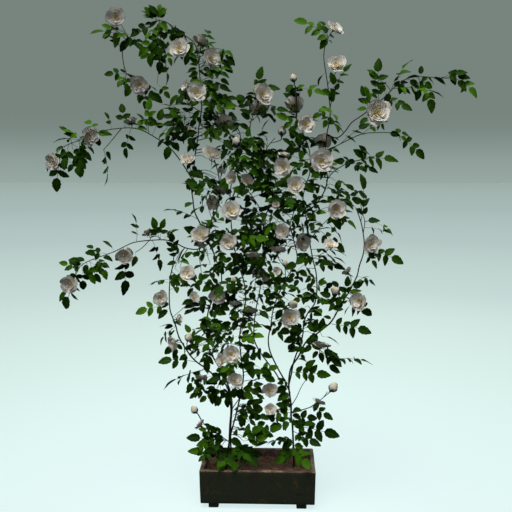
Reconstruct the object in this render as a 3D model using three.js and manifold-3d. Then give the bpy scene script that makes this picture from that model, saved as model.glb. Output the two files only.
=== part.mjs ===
// A white climbing rose, grown as a free-standing, see-through screen from two plants in a glazed trough.
// Units are millimetres, +Z is up and -Y is the front. Each leafy stem is one closed solid with its side
// canes, flower stalks, buds and leaves. Each larger bloom is a closed solid of its own, a hair's breadth
// clear of its stalk.
import * as THREE from "three";
import { mergeVertices } from "three/addons/utils/BufferGeometryUtils.js";
import Module from "manifold-3d";

const wasm = await Module();
wasm.setup();

// The trough: an oblong glazed box on four low moulded feet
const TROUGH_LENGTH = 500;
const TROUGH_DEPTH = 266;
const TROUGH_HEIGHT = 170;
const WALL = 20;
const FLOOR = 20;
const CORNER_RADIUS = 10;
const FOOT_HEIGHT = 22;
const FOOT_SIDE = 44;
const FOOT_INSET_END = 38;
const FOOT_INSET_FRONT = 10;
const FOOT_JOIN = 4;
const TAPER = 0.985;
const DRAIN_RADIUS = 8;
const DRAIN_SPACING = 250;

// The soil fills the trough to two fingers under the rim. Stems stand in it with a little ease.
const SOIL_TOP = 138;
const SOIL_RELIEF = 4;
const CLEARANCE = 0.4;
const HOLE_EASE = 4.5;
const ROOT_GAP = 2;

// Canes, stalks, leaves and blooms
const CANE_STEP = 80;
const THICK_CANE = 2.3;
const FORK_GAP = 21;
const SPRINGS = [0.14, 0.38, 0.62, 0.86];
const STALK_RADIUS = 1.2;
const STALK_SIDES = 3;
const HIP_RADIUS = 4.2;
const STALK_JOIN = 2;
const STALK_NECK = 22;
const STALK_LEAD = 30;
const STALK_DROP = 40;
const BLADE = 1;
const LEAF_ARCH = 0.3;
const LEAF_DROOP = 0.28;
const FILL_LENGTH = 150;
const GOLDEN_TURN = 2.39996;
const OWN_PIECE_DIAMETER = 68;
const HALF_OPEN_DIAMETER = 48;
const CUP_DEPTH = 0.42;
const CUP_SLOPE = 0.46;

// How a leaf is held: its face shown to the front, half turned away, or lying level
const BROAD = [0, -0.8, 0.6];
const ASKEW = [0.35, -0.55, 0.75];
const EDGE = [0.1, -0.05, 1];

// The stems. A cane is its radius at the foot and at the tip, then its route.
// A bloom or bud is the middle of its rim x, y, z, its diameter, and the way it faces.
// A leaf is where it leaves the cane x, z, then its tip x, y, z, and how it is held.
// Fill is the spacing and first turn of further leaves along the main cane, in the dense middle.
const STEMS = {
  left_outer_cane: {
    canes: [
      [3.6, 2.0, [
        [-130, 0, 115], [-130, -5, 225], [-125, -15, 330], [-120, -20, 415], [-140, -30, 520],
        [-180, -40, 555], [-220, -50, 595], [-275, -60, 640], [-310, -65, 690], [-340, -65, 745],
        [-355, -60, 800], [-375, -55, 850], [-380, -50, 910], [-375, -40, 1000], [-365, -35, 1045],
        [-360, -30, 1090],
      ]],
      [1.9, 1.3, [
        [-130, -10, 255], [-205, -40, 320], [-240, -60, 360], [-260, -70, 400],
      ]],
      [1.9, 1.4, [
        [-120, -20, 405], [-85, -50, 460], [-65, -70, 490], [-35, -85, 515],
      ]],
    ],
    blooms: [
      [-295, -110, 1025, 70, 0, -0.8, 0.6], [-410, -100, 915, 64, 0.1, -1, 0.12],
      [-265, -90, 920, 50, 0.5, -0.6, 0.6], [-325, -110, 830, 44, 0.9, -0.3, 0.2],
      [-360, -130, 730, 72, -0.78, -0.6, 0.1], [-240, -110, 580, 60, 0, 0.5, 0.85],
      [-250, -110, 370, 54, -0.2, -0.3, 0.95],
    ],
    buds: [
      [-290, -110, 750, 38, 0.3, -0.5, 0.8], [-275, -80, 425, 38, -0.5, -0.3, 0.8],
    ],
    leaves: [
      [-270, 635, -430, -80, 620, BROAD], [-350, 785, -430, -20, 695, ASKEW],
      [-380, 875, -525, -80, 850, BROAD], [-225, 595, -415, -50, 505, EDGE],
      [-375, 970, -465, -60, 970, BROAD], [-360, 1085, -365, -100, 1195, BROAD],
      [-140, 255, -315, -60, 290, ASKEW], [-130, 205, -305, -20, 210, ASKEW],
    ],
    fill: [0, 0],
  },
  left_inner_cane: {
    canes: [
      [3.4, 2.0, [
        [-120, 15, 110], [-125, 30, 290], [-120, 40, 430], [-145, 50, 515], [-190, 60, 595],
        [-220, 60, 650], [-230, 65, 740], [-225, 65, 825], [-200, 65, 890], [-165, 65, 960],
        [-170, 65, 1020], [-185, 60, 1050], [-200, 60, 1095], [-220, 60, 1135], [-215, 65, 1195],
        [-205, 70, 1235], [-185, 80, 1275], [-170, 80, 1340], [-175, 65, 1430], [-190, 40, 1495],
      ]],
    ],
    blooms: [
      [-190, -50, 1525, 84, 0.4, -0.6, 0.7], [-155, 10, 1450, 42, 0.2, -0.6, 0.8],
      [-170, 40, 1365, 60, 0, 0.8, 0.6], [-190, -40, 1315, 68, 0.7, -0.7, 0.1],
      [-175, -20, 910, 70, 0.1, -1, 0.12],
    ],
    buds: [],
    leaves: [],
    fill: [240, 1.8],
  },
  upper_left_cane: {
    canes: [
      [2.6, 1.6, [
        [-200, 60, 1100], [-255, 30, 1225], [-275, 15, 1275], [-280, 5, 1325], [-285, 0, 1380],
        [-275, -5, 1430], [-270, -10, 1495], [-255, -20, 1575], [-245, -30, 1650], [-235, -35, 1705],
        [-235, -40, 1770], [-240, -40, 1830], [-245, -40, 1895], [-260, -40, 1965], [-280, -40, 1985],
        [-335, -35, 2020], [-380, -30, 2055], [-420, -25, 2060], [-455, -20, 2035], [-485, -20, 2020],
        [-525, -15, 2005], [-555, -15, 1970], [-565, -15, 1940], [-560, -15, 1885], [-550, -20, 1850],
      ]],
      [1.5, 1.2, [
        [-410, -25, 2060], [-400, -50, 1995], [-390, -60, 1930],
      ]],
    ],
    blooms: [
      [-580, -60, 2070, 82, 0.1, -1, 0.12], [-490, -60, 1800, 82, 0.1, -1, 0],
      [-320, -90, 1945, 84, 0, -0.75, 0.66], [-240, 0, 1985, 74, 0.3, 0.6, 0.7],
      [-185, -60, 1910, 90, 0.7, -0.7, 0.2], [-245, -110, 1765, 80, 0.1, -1, 0.12],
      [-300, -70, 1795, 58, -0.8, -0.5, 0.3], [-275, -50, 1620, 54, 0.5, -0.2, 0.8],
      [-290, -90, 1500, 66, 0, -0.75, 0.65], [-245, -60, 1185, 82, -0.1, -0.8, 0.6],
      [-240, -60, 1135, 50, 0, -0.5, -0.85],
    ],
    buds: [],
    leaves: [
      [-550, 2000, -695, -40, 2015, BROAD], [-565, 1940, -635, 10, 2015, ASKEW],
      [-435, 2055, -520, -60, 1990, ASKEW], [-550, 1855, -635, -30, 1845, BROAD],
      [-420, 2065, -390, -10, 2125, ASKEW], [-435, 2060, -470, -50, 2105, ASKEW],
      [-390, 1930, -375, -75, 1795, BROAD], [-400, 2005, -445, -90, 1910, ASKEW],
      [-380, 2050, -310, -20, 1970, ASKEW], [-260, 1965, -355, -70, 1885, ASKEW],
      [-240, 1805, -380, -50, 1725, BROAD], [-235, 1740, -130, 20, 1720, ASKEW],
      [-280, 1325, -405, -30, 1285, BROAD], [-255, 1575, -385, 20, 1630, ASKEW],
    ],
    fill: [0, 0],
  },
  left_arc_upper: {
    canes: [
      [2.2, 1.4, [
        [-280, 0, 1410], [-330, -30, 1495], [-375, -50, 1550], [-425, -60, 1585], [-480, -60, 1615],
        [-525, -60, 1625], [-555, -55, 1625], [-610, -50, 1620], [-660, -45, 1610], [-735, -40, 1580],
        [-795, -35, 1560], [-825, -35, 1545],
      ]],
      [1.5, 1.2, [
        [-565, -55, 1625], [-605, -70, 1575], [-640, -75, 1535],
      ]],
    ],
    blooms: [
      [-535, -30, 1655, 58, -0.1, -0.9, 0.4], [-690, -80, 1590, 78, 0.7, -0.7, 0.1],
      [-860, -70, 1485, 76, -0.4, -0.9, 0.1],
    ],
    buds: [],
    leaves: [
      [-640, 1535, -635, -80, 1385, BROAD], [-465, 1610, -445, -40, 1685, ASKEW],
      [-555, 1625, -595, -30, 1725, ASKEW], [-735, 1580, -800, -60, 1635, ASKEW],
      [-750, 1575, -745, -60, 1420, BROAD], [-825, 1545, -860, -30, 1355, BROAD],
      [-820, 1550, -915, 20, 1445, ASKEW], [-525, 1625, -555, -30, 1495, BROAD],
    ],
    fill: [0, 0],
  },
  left_arc_lower: {
    canes: [
      [2.2, 1.4, [
        [-215, 60, 1135], [-265, 20, 1110], [-315, -10, 1120], [-350, -25, 1140], [-390, -35, 1155],
        [-450, -40, 1155], [-530, -45, 1145], [-575, -45, 1125], [-615, -40, 1105], [-685, -40, 1080],
        [-735, -40, 1060], [-765, -40, 1040],
      ]],
      [1.5, 1.2, [
        [-460, -40, 1155], [-490, -55, 1125], [-520, -60, 1105],
      ]],
    ],
    blooms: [
      [-475, -30, 1190, 46, -0.2, -0.3, 0.9], [-810, -60, 965, 82, -0.1, -1, 0.1],
      [-560, -80, 1090, 76, 0.1, -1, 0.12],
    ],
    buds: [],
    leaves: [
      [-765, 1045, -850, -60, 1060, BROAD], [-755, 1050, -760, -10, 930, BROAD],
      [-675, 1080, -745, 0, 1130, ASKEW], [-575, 1125, -550, -60, 910, BROAD],
      [-450, 1155, -415, -70, 1025, ASKEW], [-520, 1145, -535, -20, 1270, EDGE],
      [-420, 1155, -445, -70, 1255, BROAD], [-375, 1145, -345, -10, 1255, ASKEW],
      [-775, 1040, -845, 10, 835, BROAD],
    ],
    fill: [0, 0],
  },
  left_front_cane: {
    canes: [
      [3.2, 1.8, [
        [-145, -25, 130], [-125, -50, 275], [-95, -75, 400], [-75, -90, 490], [-60, -105, 585],
        [-70, -110, 670], [-75, -110, 760], [-60, -105, 845], [-50, -95, 920], [-60, -90, 995],
        [-85, -90, 1070], [-100, -85, 1145], [-110, -80, 1220], [-115, -65, 1300], [-115, -50, 1375],
        [-95, -35, 1450], [-75, -25, 1525], [-75, -15, 1595], [-95, -5, 1645],
      ]],
    ],
    blooms: [
      [-145, 30, 1655, 72, -0.2, 0.8, 0.5], [-110, -100, 1420, 54, -0.4, -0.8, 0.4],
      [-105, -140, 1290, 82, 0, -0.8, 0.6], [-120, -150, 1160, 72, 0, -1, 0.1],
      [-95, -40, 880, 60, 0, 0.7, 0.7], [-105, -180, 695, 78, 0.1, -1, 0.12],
      [-155, -130, 660, 58, -0.6, -0.7, 0.3], [-90, -150, 580, 70, 0.5, -0.7, 0.5],
      [-15, -150, 1110, 74, 0, 0.4, 0.9],
    ],
    buds: [
      [-90, -60, 1570, 38, -0.2, -0.5, 0.9], [-100, -120, 1000, 30, 0, -0.6, 0.8],
    ],
    leaves: [
      [-95, 1645, -220, -60, 1665, BROAD], [-145, 165, -165, -150, 200, BROAD],
      [-130, 255, -25, -130, 210, ASKEW],
    ],
    fill: [240, 2.5],
  },
  right_outer_cane: {
    canes: [
      [4.0, 1.9, [
        [160, 0, 120], [155, -5, 260], [150, -10, 345], [145, -10, 375], [145, -10, 420],
        [140, -10, 460], [135, -10, 500], [135, -10, 550], [145, -20, 600], [175, -30, 650],
        [205, -40, 715], [240, -45, 745], [275, -50, 775], [305, -50, 800], [325, -55, 830],
        [340, -55, 860], [365, -50, 905], [385, -50, 935], [400, -45, 965], [420, -40, 1005],
        [430, -35, 1050], [445, -30, 1095], [450, -20, 1145], [445, -20, 1185], [435, -10, 1235],
        [415, -5, 1290],
      ]],
      [1.6, 1.3, [
        [445, -20, 1185], [450, -25, 1235], [435, -30, 1285], [430, -30, 1325],
      ]],
      [2.0, 1.3, [
        [145, -10, 385], [190, -30, 410], [230, -45, 430], [250, -55, 450], [280, -60, 475],
        [300, -65, 505],
      ]],
      [1.6, 1.2, [
        [145, -10, 425], [170, -25, 470], [190, -35, 520], [215, -45, 560],
      ]],
      [1.5, 1.2, [
        [220, -45, 720], [275, -40, 675], [330, -35, 640],
      ]],
    ],
    blooms: [
      [55, -110, 440, 52, 0.1, -1, 0.12], [265, -100, 725, 84, 0.1, 0.5, 0.87],
      [265, -100, 475, 60, 0.2, -0.4, 0.9], [480, -60, 1145, 80, 0.4, -0.9, 0.1],
      [370, -90, 1035, 50, -0.8, -0.2, 0.5], [420, -90, 905, 84, -0.65, -0.75, 0.1],
    ],
    buds: [
      [325, -75, 530, 48, 0.5, -0.3, 0.8], [325, -80, 950, 40, -0.5, -0.5, 0.7],
    ],
    leaves: [
      [430, 1325, 435, -35, 1450, BROAD], [450, 1215, 570, -30, 1180, BROAD],
      [445, 1120, 620, -40, 1065, BROAD], [420, 1005, 505, -20, 960, ASKEW],
      [380, 935, 485, -30, 825, BROAD], [310, 800, 485, -80, 775, BROAD],
      [330, 640, 500, -20, 615, EDGE], [215, 560, 305, -70, 580, BROAD],
      [220, 720, 355, -90, 645, ASKEW], [150, 340, 360, -40, 295, BROAD],
      [155, 235, 230, -165, 200, BROAD], [155, 265, -10, -80, 260, BROAD],
    ],
    fill: [0, 0],
  },
  right_centre_cane: {
    canes: [
      [3.0, 1.7, [
        [135, -10, 520], [145, 5, 560], [155, 20, 610], [180, 35, 680], [195, 45, 725], [200, 50, 785],
        [220, 50, 830], [245, 50, 865], [255, 45, 915], [255, 40, 955], [250, 35, 1010],
        [235, 30, 1070], [220, 20, 1150], [205, 10, 1245], [190, 5, 1325], [200, -5, 1385],
        [215, -10, 1430], [220, -10, 1485], [210, -5, 1550], [185, 0, 1605], [160, 5, 1660],
      ]],
      [1.6, 1.3, [
        [220, 20, 1150], [255, -5, 1200], [285, -25, 1235], [315, -40, 1265],
      ]],
    ],
    blooms: [
      [330, -80, 1290, 82, 0, -0.8, 0.6], [305, -105, 1150, 70, 0.2, -0.7, 0.65],
      [190, -50, 1150, 84, 0.6, -0.75, 0], [150, 30, 1730, 88, 0.1, 0.7, 0.65],
      [200, -70, 1640, 78, 0.4, -0.9, -0.2],
    ],
    buds: [
      [145, -20, 1830, 34, -0.2, -0.3, 0.9],
    ],
    leaves: [
      [315, 1265, 415, -60, 1210, ASKEW], [255, 1200, 370, 0, 1095, BROAD],
      [240, 1040, 375, -20, 1035, BROAD], [205, 1385, 390, 30, 1340, BROAD],
      [185, 1600, 75, -50, 1690, BROAD], [175, 1625, 275, 40, 1690, ASKEW],
      [160, 1660, 110, -60, 1810, ASKEW],
    ],
    fill: [0, 3.3],
  },
  right_inner_cane: {
    canes: [
      [2.8, 1.6, [
        [140, -10, 480], [115, -35, 545], [80, -55, 615], [50, -70, 690], [45, -75, 740],
        [55, -80, 795], [65, -80, 865], [85, -80, 925], [110, -80, 980], [140, -70, 1030],
        [165, -60, 1075], [150, -50, 1160], [135, -45, 1220], [150, -45, 1280], [140, -50, 1345],
        [125, -55, 1410],
      ]],
    ],
    blooms: [
      [55, -100, 520, 68, 0.4, -0.9, 0.1], [135, -140, 845, 82, 0.1, -1, 0.12],
      [100, -110, 1200, 72, -0.55, -0.8, 0.1], [85, -60, 1120, 68, 0, 0.5, 0.85],
      [80, -110, 1035, 38, 0.1, -0.7, 0.7], [100, -110, 1465, 80, -0.4, -0.9, -0.25],
      [155, -110, 1390, 74, 0.1, -1, 0.12], [75, -80, 1310, 34, 0, -0.8, 0.6],
    ],
    buds: [
      [150, -110, 895, 42, 0.1, -0.9, 0.4], [115, -120, 1070, 28, 0, -0.5, 0.85],
    ],
    leaves: [],
    fill: [240, 1.2],
  },
  right_back_cane: {
    canes: [
      [2.8, 1.6, [
        [140, -10, 440], [110, 15, 495], [80, 35, 550], [40, 50, 600], [5, 65, 645], [-20, 80, 695],
        [-20, 90, 775], [-10, 100, 850], [5, 100, 925], [5, 100, 990], [15, 90, 1070], [25, 85, 1160],
        [25, 80, 1240], [-10, 65, 1310], [-40, 50, 1355], [-65, 40, 1390], [-95, 35, 1435],
      ]],
    ],
    blooms: [
      [-45, -30, 1410, 58, 0.4, -0.8, 0.4], [-40, 40, 835, 66, 0, 0.7, 0.7],
      [50, 20, 1125, 38, 0.2, -0.7, 0.7], [-10, 30, 1010, 40, -0.2, -0.7, 0.7],
      [30, 40, 985, 40, 0.3, -0.9, 0.3],
    ],
    buds: [
      [20, 20, 1230, 34, 0, -0.6, 0.8],
    ],
    leaves: [],
    fill: [240, 2.8],
  },
  tall_right_cane: {
    canes: [
      [2.6, 1.6, [
        [200, 15, 1265], [245, 30, 1305], [280, 40, 1355], [295, 40, 1415], [285, 35, 1475],
        [285, 25, 1540], [290, 15, 1610], [300, 10, 1660], [300, 5, 1710], [295, 0, 1750],
        [290, -5, 1790], [280, -10, 1850], [270, -20, 1910], [275, -20, 1965], [285, -25, 1995],
      ]],
      [1.5, 1.2, [
        [300, 5, 1710], [310, 15, 1755], [315, 20, 1790],
      ]],
    ],
    blooms: [
      [275, 70, 1575, 78, 0, 0.8, 0.6], [265, -60, 1490, 100, 0.1, -1, 0.12],
      [315, -60, 2025, 76, -0.7, -0.4, 0.6], [320, -60, 1885, 86, 0, -0.75, 0.66],
    ],
    buds: [],
    leaves: [
      [285, 1995, 145, -40, 2065, BROAD], [285, 1990, 255, 30, 2070, ASKEW],
      [315, 1790, 390, 10, 1890, BROAD], [300, 1710, 225, -60, 1665, ASKEW],
      [295, 1650, 360, -20, 1615, ASKEW], [270, 1910, 360, 10, 1955, ASKEW],
    ],
    fill: [0, 0],
  },
  right_arc_upper: {
    canes: [
      [2.0, 1.3, [
        [290, 15, 1600], [330, -20, 1585], [360, -40, 1610], [385, -50, 1645], [435, -60, 1680],
        [475, -60, 1715], [515, -60, 1745], [560, -55, 1790], [605, -50, 1820], [655, -45, 1830],
        [745, -35, 1825], [810, -30, 1825],
      ]],
    ],
    blooms: [
      [485, -110, 1685, 106, 0.1, -1, 0.12],
    ],
    buds: [],
    leaves: [
      [490, 1730, 490, -60, 1905, BROAD], [545, 1780, 635, -30, 1905, BROAD],
      [810, 1825, 895, -60, 1745, BROAD], [655, 1830, 800, 20, 1815, ASKEW],
      [675, 1830, 715, -70, 1680, BROAD], [550, 1785, 750, -100, 1745, ASKEW],
      [520, 1745, 620, -110, 1685, BROAD],
    ],
    fill: [0, 0],
  },
  right_arc_lower: {
    canes: [
      [1.8, 1.3, [
        [285, 25, 1535], [325, 50, 1550], [375, 65, 1575], [445, 70, 1605], [510, 70, 1610],
        [550, 70, 1610], [600, 70, 1600],
      ]],
    ],
    blooms: [],
    buds: [],
    leaves: [
      [600, 1605, 715, 60, 1500, BROAD], [550, 1615, 660, 110, 1595, ASKEW],
      [350, 1560, 485, 100, 1650, ASKEW],
    ],
    fill: [0, 0],
  },
  right_arc_third: {
    canes: [
      [1.8, 1.3, [
        [290, 40, 1405], [320, 75, 1440], [375, 90, 1475], [440, 100, 1495], [500, 100, 1510],
      ]],
    ],
    blooms: [],
    buds: [],
    leaves: [
      [500, 1510, 600, 80, 1490, BROAD], [405, 1485, 515, 70, 1435, BROAD],
      [375, 1475, 405, 110, 1555, ASKEW],
    ],
    fill: [0, 0],
  },
  centre_top_cane: {
    canes: [
      [2.4, 1.5, [
        [20, 80, 1240], [55, 60, 1310], [60, 40, 1375], [35, 25, 1450], [15, 15, 1500], [-15, 5, 1540],
        [-30, 0, 1585], [-35, -5, 1630], [-20, -10, 1685], [0, -10, 1725],
      ]],
      [1.6, 1.3, [
        [15, 15, 1500], [40, -5, 1550], [70, -15, 1585],
      ]],
    ],
    blooms: [
      [25, -80, 1760, 90, 0.55, -0.8, 0.1], [0, 40, 1715, 90, -0.3, 0.75, 0.6],
      [110, -40, 1520, 50, 0.2, -0.5, 0.8],
    ],
    buds: [
      [100, -20, 1615, 42, 0.1, -0.2, 1],
    ],
    leaves: [
      [0, 1725, 10, -20, 1880, BROAD], [-25, 1660, -85, 20, 1770, ASKEW],
    ],
    fill: [0, 0],
  },
};

// A closed geometry as a solid to join and cut
function solid(geometry) {
  const loose = geometry.index ? geometry.toNonIndexed() : geometry.clone();
  loose.deleteAttribute("normal");
  loose.deleteAttribute("uv");
  const merged = mergeVertices(loose, 1e-3);
  const corners = [];
  for (let i = 0; i < merged.index.count; i += 3) {
    const [a, b, c] = [0, 1, 2].map((k) => merged.index.getX(i + k));
    if (a !== b && b !== c && c !== a) corners.push(a, b, c);
  }
  return new wasm.Manifold(
    new wasm.Mesh({
      numProp: 3,
      vertProperties: merged.attributes.position.array,
      triVerts: Uint32Array.from(corners),
    }),
  );
}

function geometryOf(body) {
  const mesh = body.getMesh();
  const geometry = new THREE.BufferGeometry();
  geometry.setAttribute("position", new THREE.BufferAttribute(mesh.vertProperties, 3));
  geometry.setIndex(new THREE.BufferAttribute(mesh.triVerts, 1));
  const faceted = geometry.toNonIndexed();
  faceted.computeVertexNormals();
  return faceted;
}

function reshape(geometry, move) {
  const place = geometry.attributes.position;
  const point = new THREE.Vector3();
  for (let i = 0; i < place.count; i += 1) {
    point.fromBufferAttribute(place, i);
    move(point);
    place.setXYZ(i, point.x, point.y, point.z);
  }
  return geometry;
}

function roundedOblong(length, depth, radius) {
  const [x, y] = [length / 2 - radius, depth / 2 - radius];
  const outline = new THREE.Shape();
  outline.absarc(x, y, radius, 0, Math.PI / 2);
  outline.absarc(-x, y, radius, Math.PI / 2, Math.PI);
  outline.absarc(-x, -y, radius, Math.PI, 1.5 * Math.PI);
  outline.absarc(x, -y, radius, 1.5 * Math.PI, 2 * Math.PI);
  return outline;
}

function upright(outline, low, high, curveSegments = 3) {
  const height = high - low;
  return new THREE.ExtrudeGeometry(outline, { depth: height, bevelEnabled: false, curveSegments }).translate(
    0,
    0,
    low,
  );
}

function disc(radius) {
  return new THREE.Shape().absarc(0, 0, radius, 0, 2 * Math.PI);
}

// The trough narrows a little towards its floor, and stands on feet moulded with it
function trough() {
  const outline = roundedOblong(TROUGH_LENGTH, TROUGH_DEPTH, CORNER_RADIUS);
  const shell = reshape(upright(outline, FOOT_HEIGHT, TROUGH_HEIGHT), (p) => {
    if (p.z < TROUGH_HEIGHT / 2) {
      p.x *= TAPER;
      p.y *= TAPER;
    }
  });
  const [length, depth] = [TROUGH_LENGTH - 2 * WALL, TROUGH_DEPTH - 2 * WALL];
  const hollow = new THREE.BoxGeometry(length, depth, TROUGH_HEIGHT);
  hollow.translate(0, 0, FOOT_HEIGHT + FLOOR + TROUGH_HEIGHT / 2);
  let body = solid(shell).subtract(solid(hollow));
  const footX = TROUGH_LENGTH / 2 - FOOT_INSET_END - FOOT_SIDE / 2;
  const footY = TROUGH_DEPTH / 2 - FOOT_INSET_FRONT - FOOT_SIDE / 2;
  for (const x of [-footX, footX]) {
    for (const y of [-footY, footY]) {
      const foot = new THREE.BoxGeometry(FOOT_SIDE, FOOT_SIDE, FOOT_HEIGHT + FOOT_JOIN);
      body = body.add(solid(foot.translate(x, y, (FOOT_HEIGHT + FOOT_JOIN) / 2)));
    }
  }
  for (const x of [-DRAIN_SPACING / 2, DRAIN_SPACING / 2]) {
    const drain = upright(disc(DRAIN_RADIUS), 0, TROUGH_HEIGHT / 2, 4).translate(x, 0, 0);
    body = body.subtract(solid(drain));
  }
  return body;
}

// The soil is a filled block with a gently uneven top and a plain hole for each stem that stands in it
function soil() {
  const [length, depth] = [TROUGH_LENGTH, TROUGH_DEPTH].map((side) => side - 2 * (WALL + CLEARANCE));
  const low = FOOT_HEIGHT + FLOOR + CLEARANCE;
  const block = new THREE.BoxGeometry(length, depth, SOIL_TOP - low, 6, 3, 1);
  block.translate(0, 0, (SOIL_TOP + low) / 2);
  reshape(block, (p) => {
    if (p.z > low + 1) p.z += SOIL_RELIEF * Math.sin(0.031 * p.x + 1) * Math.cos(0.047 * p.y - 0.6);
  });
  let body = solid(block);
  for (const { canes } of Object.values(STEMS)) {
    for (const [radius, , route] of canes) {
      const [x, y, z] = route[0];
      if (z > SOIL_TOP) continue;
      const hole = upright(disc(radius + HOLE_EASE), z - ROOT_GAP, TROUGH_HEIGHT, 2);
      body = body.subtract(solid(hole.translate(x, y, 0)));
    }
  }
  return body;
}

function curveThrough(route) {
  return new THREE.CatmullRomCurve3(
    route.map((point) => new THREE.Vector3(...point)),
    false,
    "centripetal",
  );
}

// A round bar along a curve: each ring of a straight prism is carried to its place, at its own radius
function bar(curve, steps, sides, radiusAt) {
  const ring = new THREE.Shape();
  for (let i = 0; i < sides; i += 1) {
    const angle = (2 * Math.PI * i) / sides;
    if (i) ring.lineTo(Math.cos(angle), Math.sin(angle));
    else ring.moveTo(1, 0);
  }
  const prism = new THREE.ExtrudeGeometry(ring, { depth: steps, steps, bevelEnabled: false });
  const frames = curve.computeFrenetFrames(steps);
  return reshape(prism, (p) => {
    const k = Math.round(p.z);
    const radius = radiusAt(k / steps);
    const [across, over] = [p.x * radius, p.y * radius];
    curve.getPointAt(k / steps, p);
    p.addScaledVector(frames.normals[k], across).addScaledVector(frames.binormals[k], over);
  });
}

// A cane as a bar, with the points of its middle line that leaves and stalks spring from.
// One that another cane bears starts just clear of that cane.
function cane([footRadius, tipRadius, route], isBorne) {
  let curve = curveThrough(route);
  if (isBorne) {
    const start = curve.getPointAt(FORK_GAP / curve.getLength());
    curve = curveThrough([start.toArray(), ...route.slice(1)]);
  }
  const steps = Math.max(2, Math.round(curve.getLength() / CANE_STEP));
  const knots = curve.getSpacedPoints(steps);
  const middle = knots.slice(1).flatMap((knot, i) => SPRINGS.map((t) => knots[i].clone().lerp(knot, t)));
  const sides = footRadius > THICK_CANE ? 5 : 4;
  const shape = bar(curve, steps, sides, (t) => footRadius + (tipRadius - footRadius) * t);
  return { shape, middle };
}

// One side of a pinnate leaf, from stalk to tip: leaflets cut to the rib. Unit length, x along, y across.
function leafEdge(pairs) {
  const rib = 0.011;
  const reach = pairs > 1 ? 0.27 : 0.33;
  const lean = 0.9;
  const [along, across] = [Math.cos(lean), Math.sin(lean)];
  const edge = [[0, 0.3 * rib]];
  for (let i = 0; i < pairs; i += 1) {
    const joint = pairs > 1 ? 0.27 + 0.26 * i : 0.4;
    edge.push([joint, rib]);
    edge.push([joint + reach * (0.4 * along - 0.3 * across), reach * (0.4 * across + 0.3 * along)]);
    edge.push([joint + reach * along, reach * across]);
  }
  edge.push([0.64, rib]);
  edge.push([0.82, 0.11]);
  return edge;
}

// A compound leaf as one thin arched blade between its foot and its tip
function leaf(foot, tip, held, pairs) {
  const edge = leafEdge(pairs);
  const outline = new THREE.Shape();
  outline.moveTo(0, -edge[0][1]);
  for (const [x, y] of edge.slice(1)) outline.lineTo(x, -y);
  outline.lineTo(1, 0);
  for (const [x, y] of edge.slice().reverse()) outline.lineTo(x, y);
  const length = foot.distanceTo(tip);
  const blade = new THREE.ExtrudeGeometry(outline, { depth: 1, bevelEnabled: false });
  reshape(blade, (p) => {
    const arch = LEAF_ARCH * p.x * (1 - p.x) - LEAF_DROOP * Math.abs(p.y);
    p.set(p.x * length, p.y * length, (p.z - 0.5) * BLADE + arch * length);
  });
  const along = tip.clone().sub(foot).normalize();
  const face = new THREE.Vector3(...held).normalize();
  face.addScaledVector(along, -face.dot(along)).normalize();
  const across = face.clone().cross(along);
  const placed = new THREE.Matrix4().makeBasis(along, across, face).setPosition(foot);
  return blade.applyMatrix4(placed);
}

// Leaves at even spacing along a cane, each turned by the golden angle from the last. A climber's leaves
// spread more sideways than to and fro, and show their faces outwards.
function fillLeaves(middle, [spacing, firstTurn]) {
  const made = [];
  let travelled = 0;
  for (let i = 1; spacing > 0 && i < middle.length; i += 1) {
    travelled += middle[i].distanceTo(middle[i - 1]);
    if (travelled < spacing * (made.length + 0.6)) continue;
    const turn = firstTurn + made.length * GOLDEN_TURN;
    const reach = new THREE.Vector3(Math.cos(turn), 0.5 * Math.sin(turn), 0.25).setLength(FILL_LENGTH);
    const held = [0, Math.sin(turn) < 0 ? -0.6 : 0.6, 0.8];
    made.push({ foot: middle[i], tip: middle[i].clone().add(reach), held });
  }
  return made;
}

// A semi-double bloom from a turned profile: an outer cup of five lobed petals, and five more inside it
// set between them. Each row is a radius, a height and how deep the notches between petals cut, all as
// parts of the bloom's radius. It opens along +Z from the middle of its rim.
const OPEN_PROFILE = [
  [0, -CUP_DEPTH, 0],
  [1, CUP_SLOPE - CUP_DEPTH, 0.2],
  [0.6, -0.07, 0],
  [0.48, 0.16, -0.2],
  [0, -0.12, 0],
];
const HALF_OPEN_PROFILE = [
  [0, -0.6, 0],
  [0.96, 0.1, 0.3],
  [0, -0.05, 0],
];
const BUD_PROFILE = [
  [0, -0.9, 0],
  [0.78, -0.25, 0],
  [0.55, 0.55, 0],
  [0, 1, 0],
];

function turned(profile, radius, segments) {
  const points = profile.map(([r, h]) => new THREE.Vector2(r * radius, h * radius));
  const geometry = new THREE.LatheGeometry(points, segments).rotateX(Math.PI / 2);
  const lobes = segments / 2;
  return reshape(geometry, (p) => {
    const r = Math.hypot(p.x, p.y) / radius;
    const row = profile.reduce((near, at) => (Math.abs(at[0] - r) < Math.abs(near[0] - r) ? at : near));
    const lobe = row[2] * 0.5 * (Math.cos(lobes * Math.atan2(p.y, p.x)) - 1);
    p.set(p.x * (1 + lobe), p.y * (1 + lobe), p.z + CUP_SLOPE * lobe * radius);
  });
}

function facing(geometry, [x, y, z, , ...towards]) {
  const turn = new THREE.Quaternion().setFromUnitVectors(
    new THREE.Vector3(0, 0, 1),
    new THREE.Vector3(...towards).normalize(),
  );
  return geometry.applyQuaternion(turn).translate(x, y, z);
}

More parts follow.
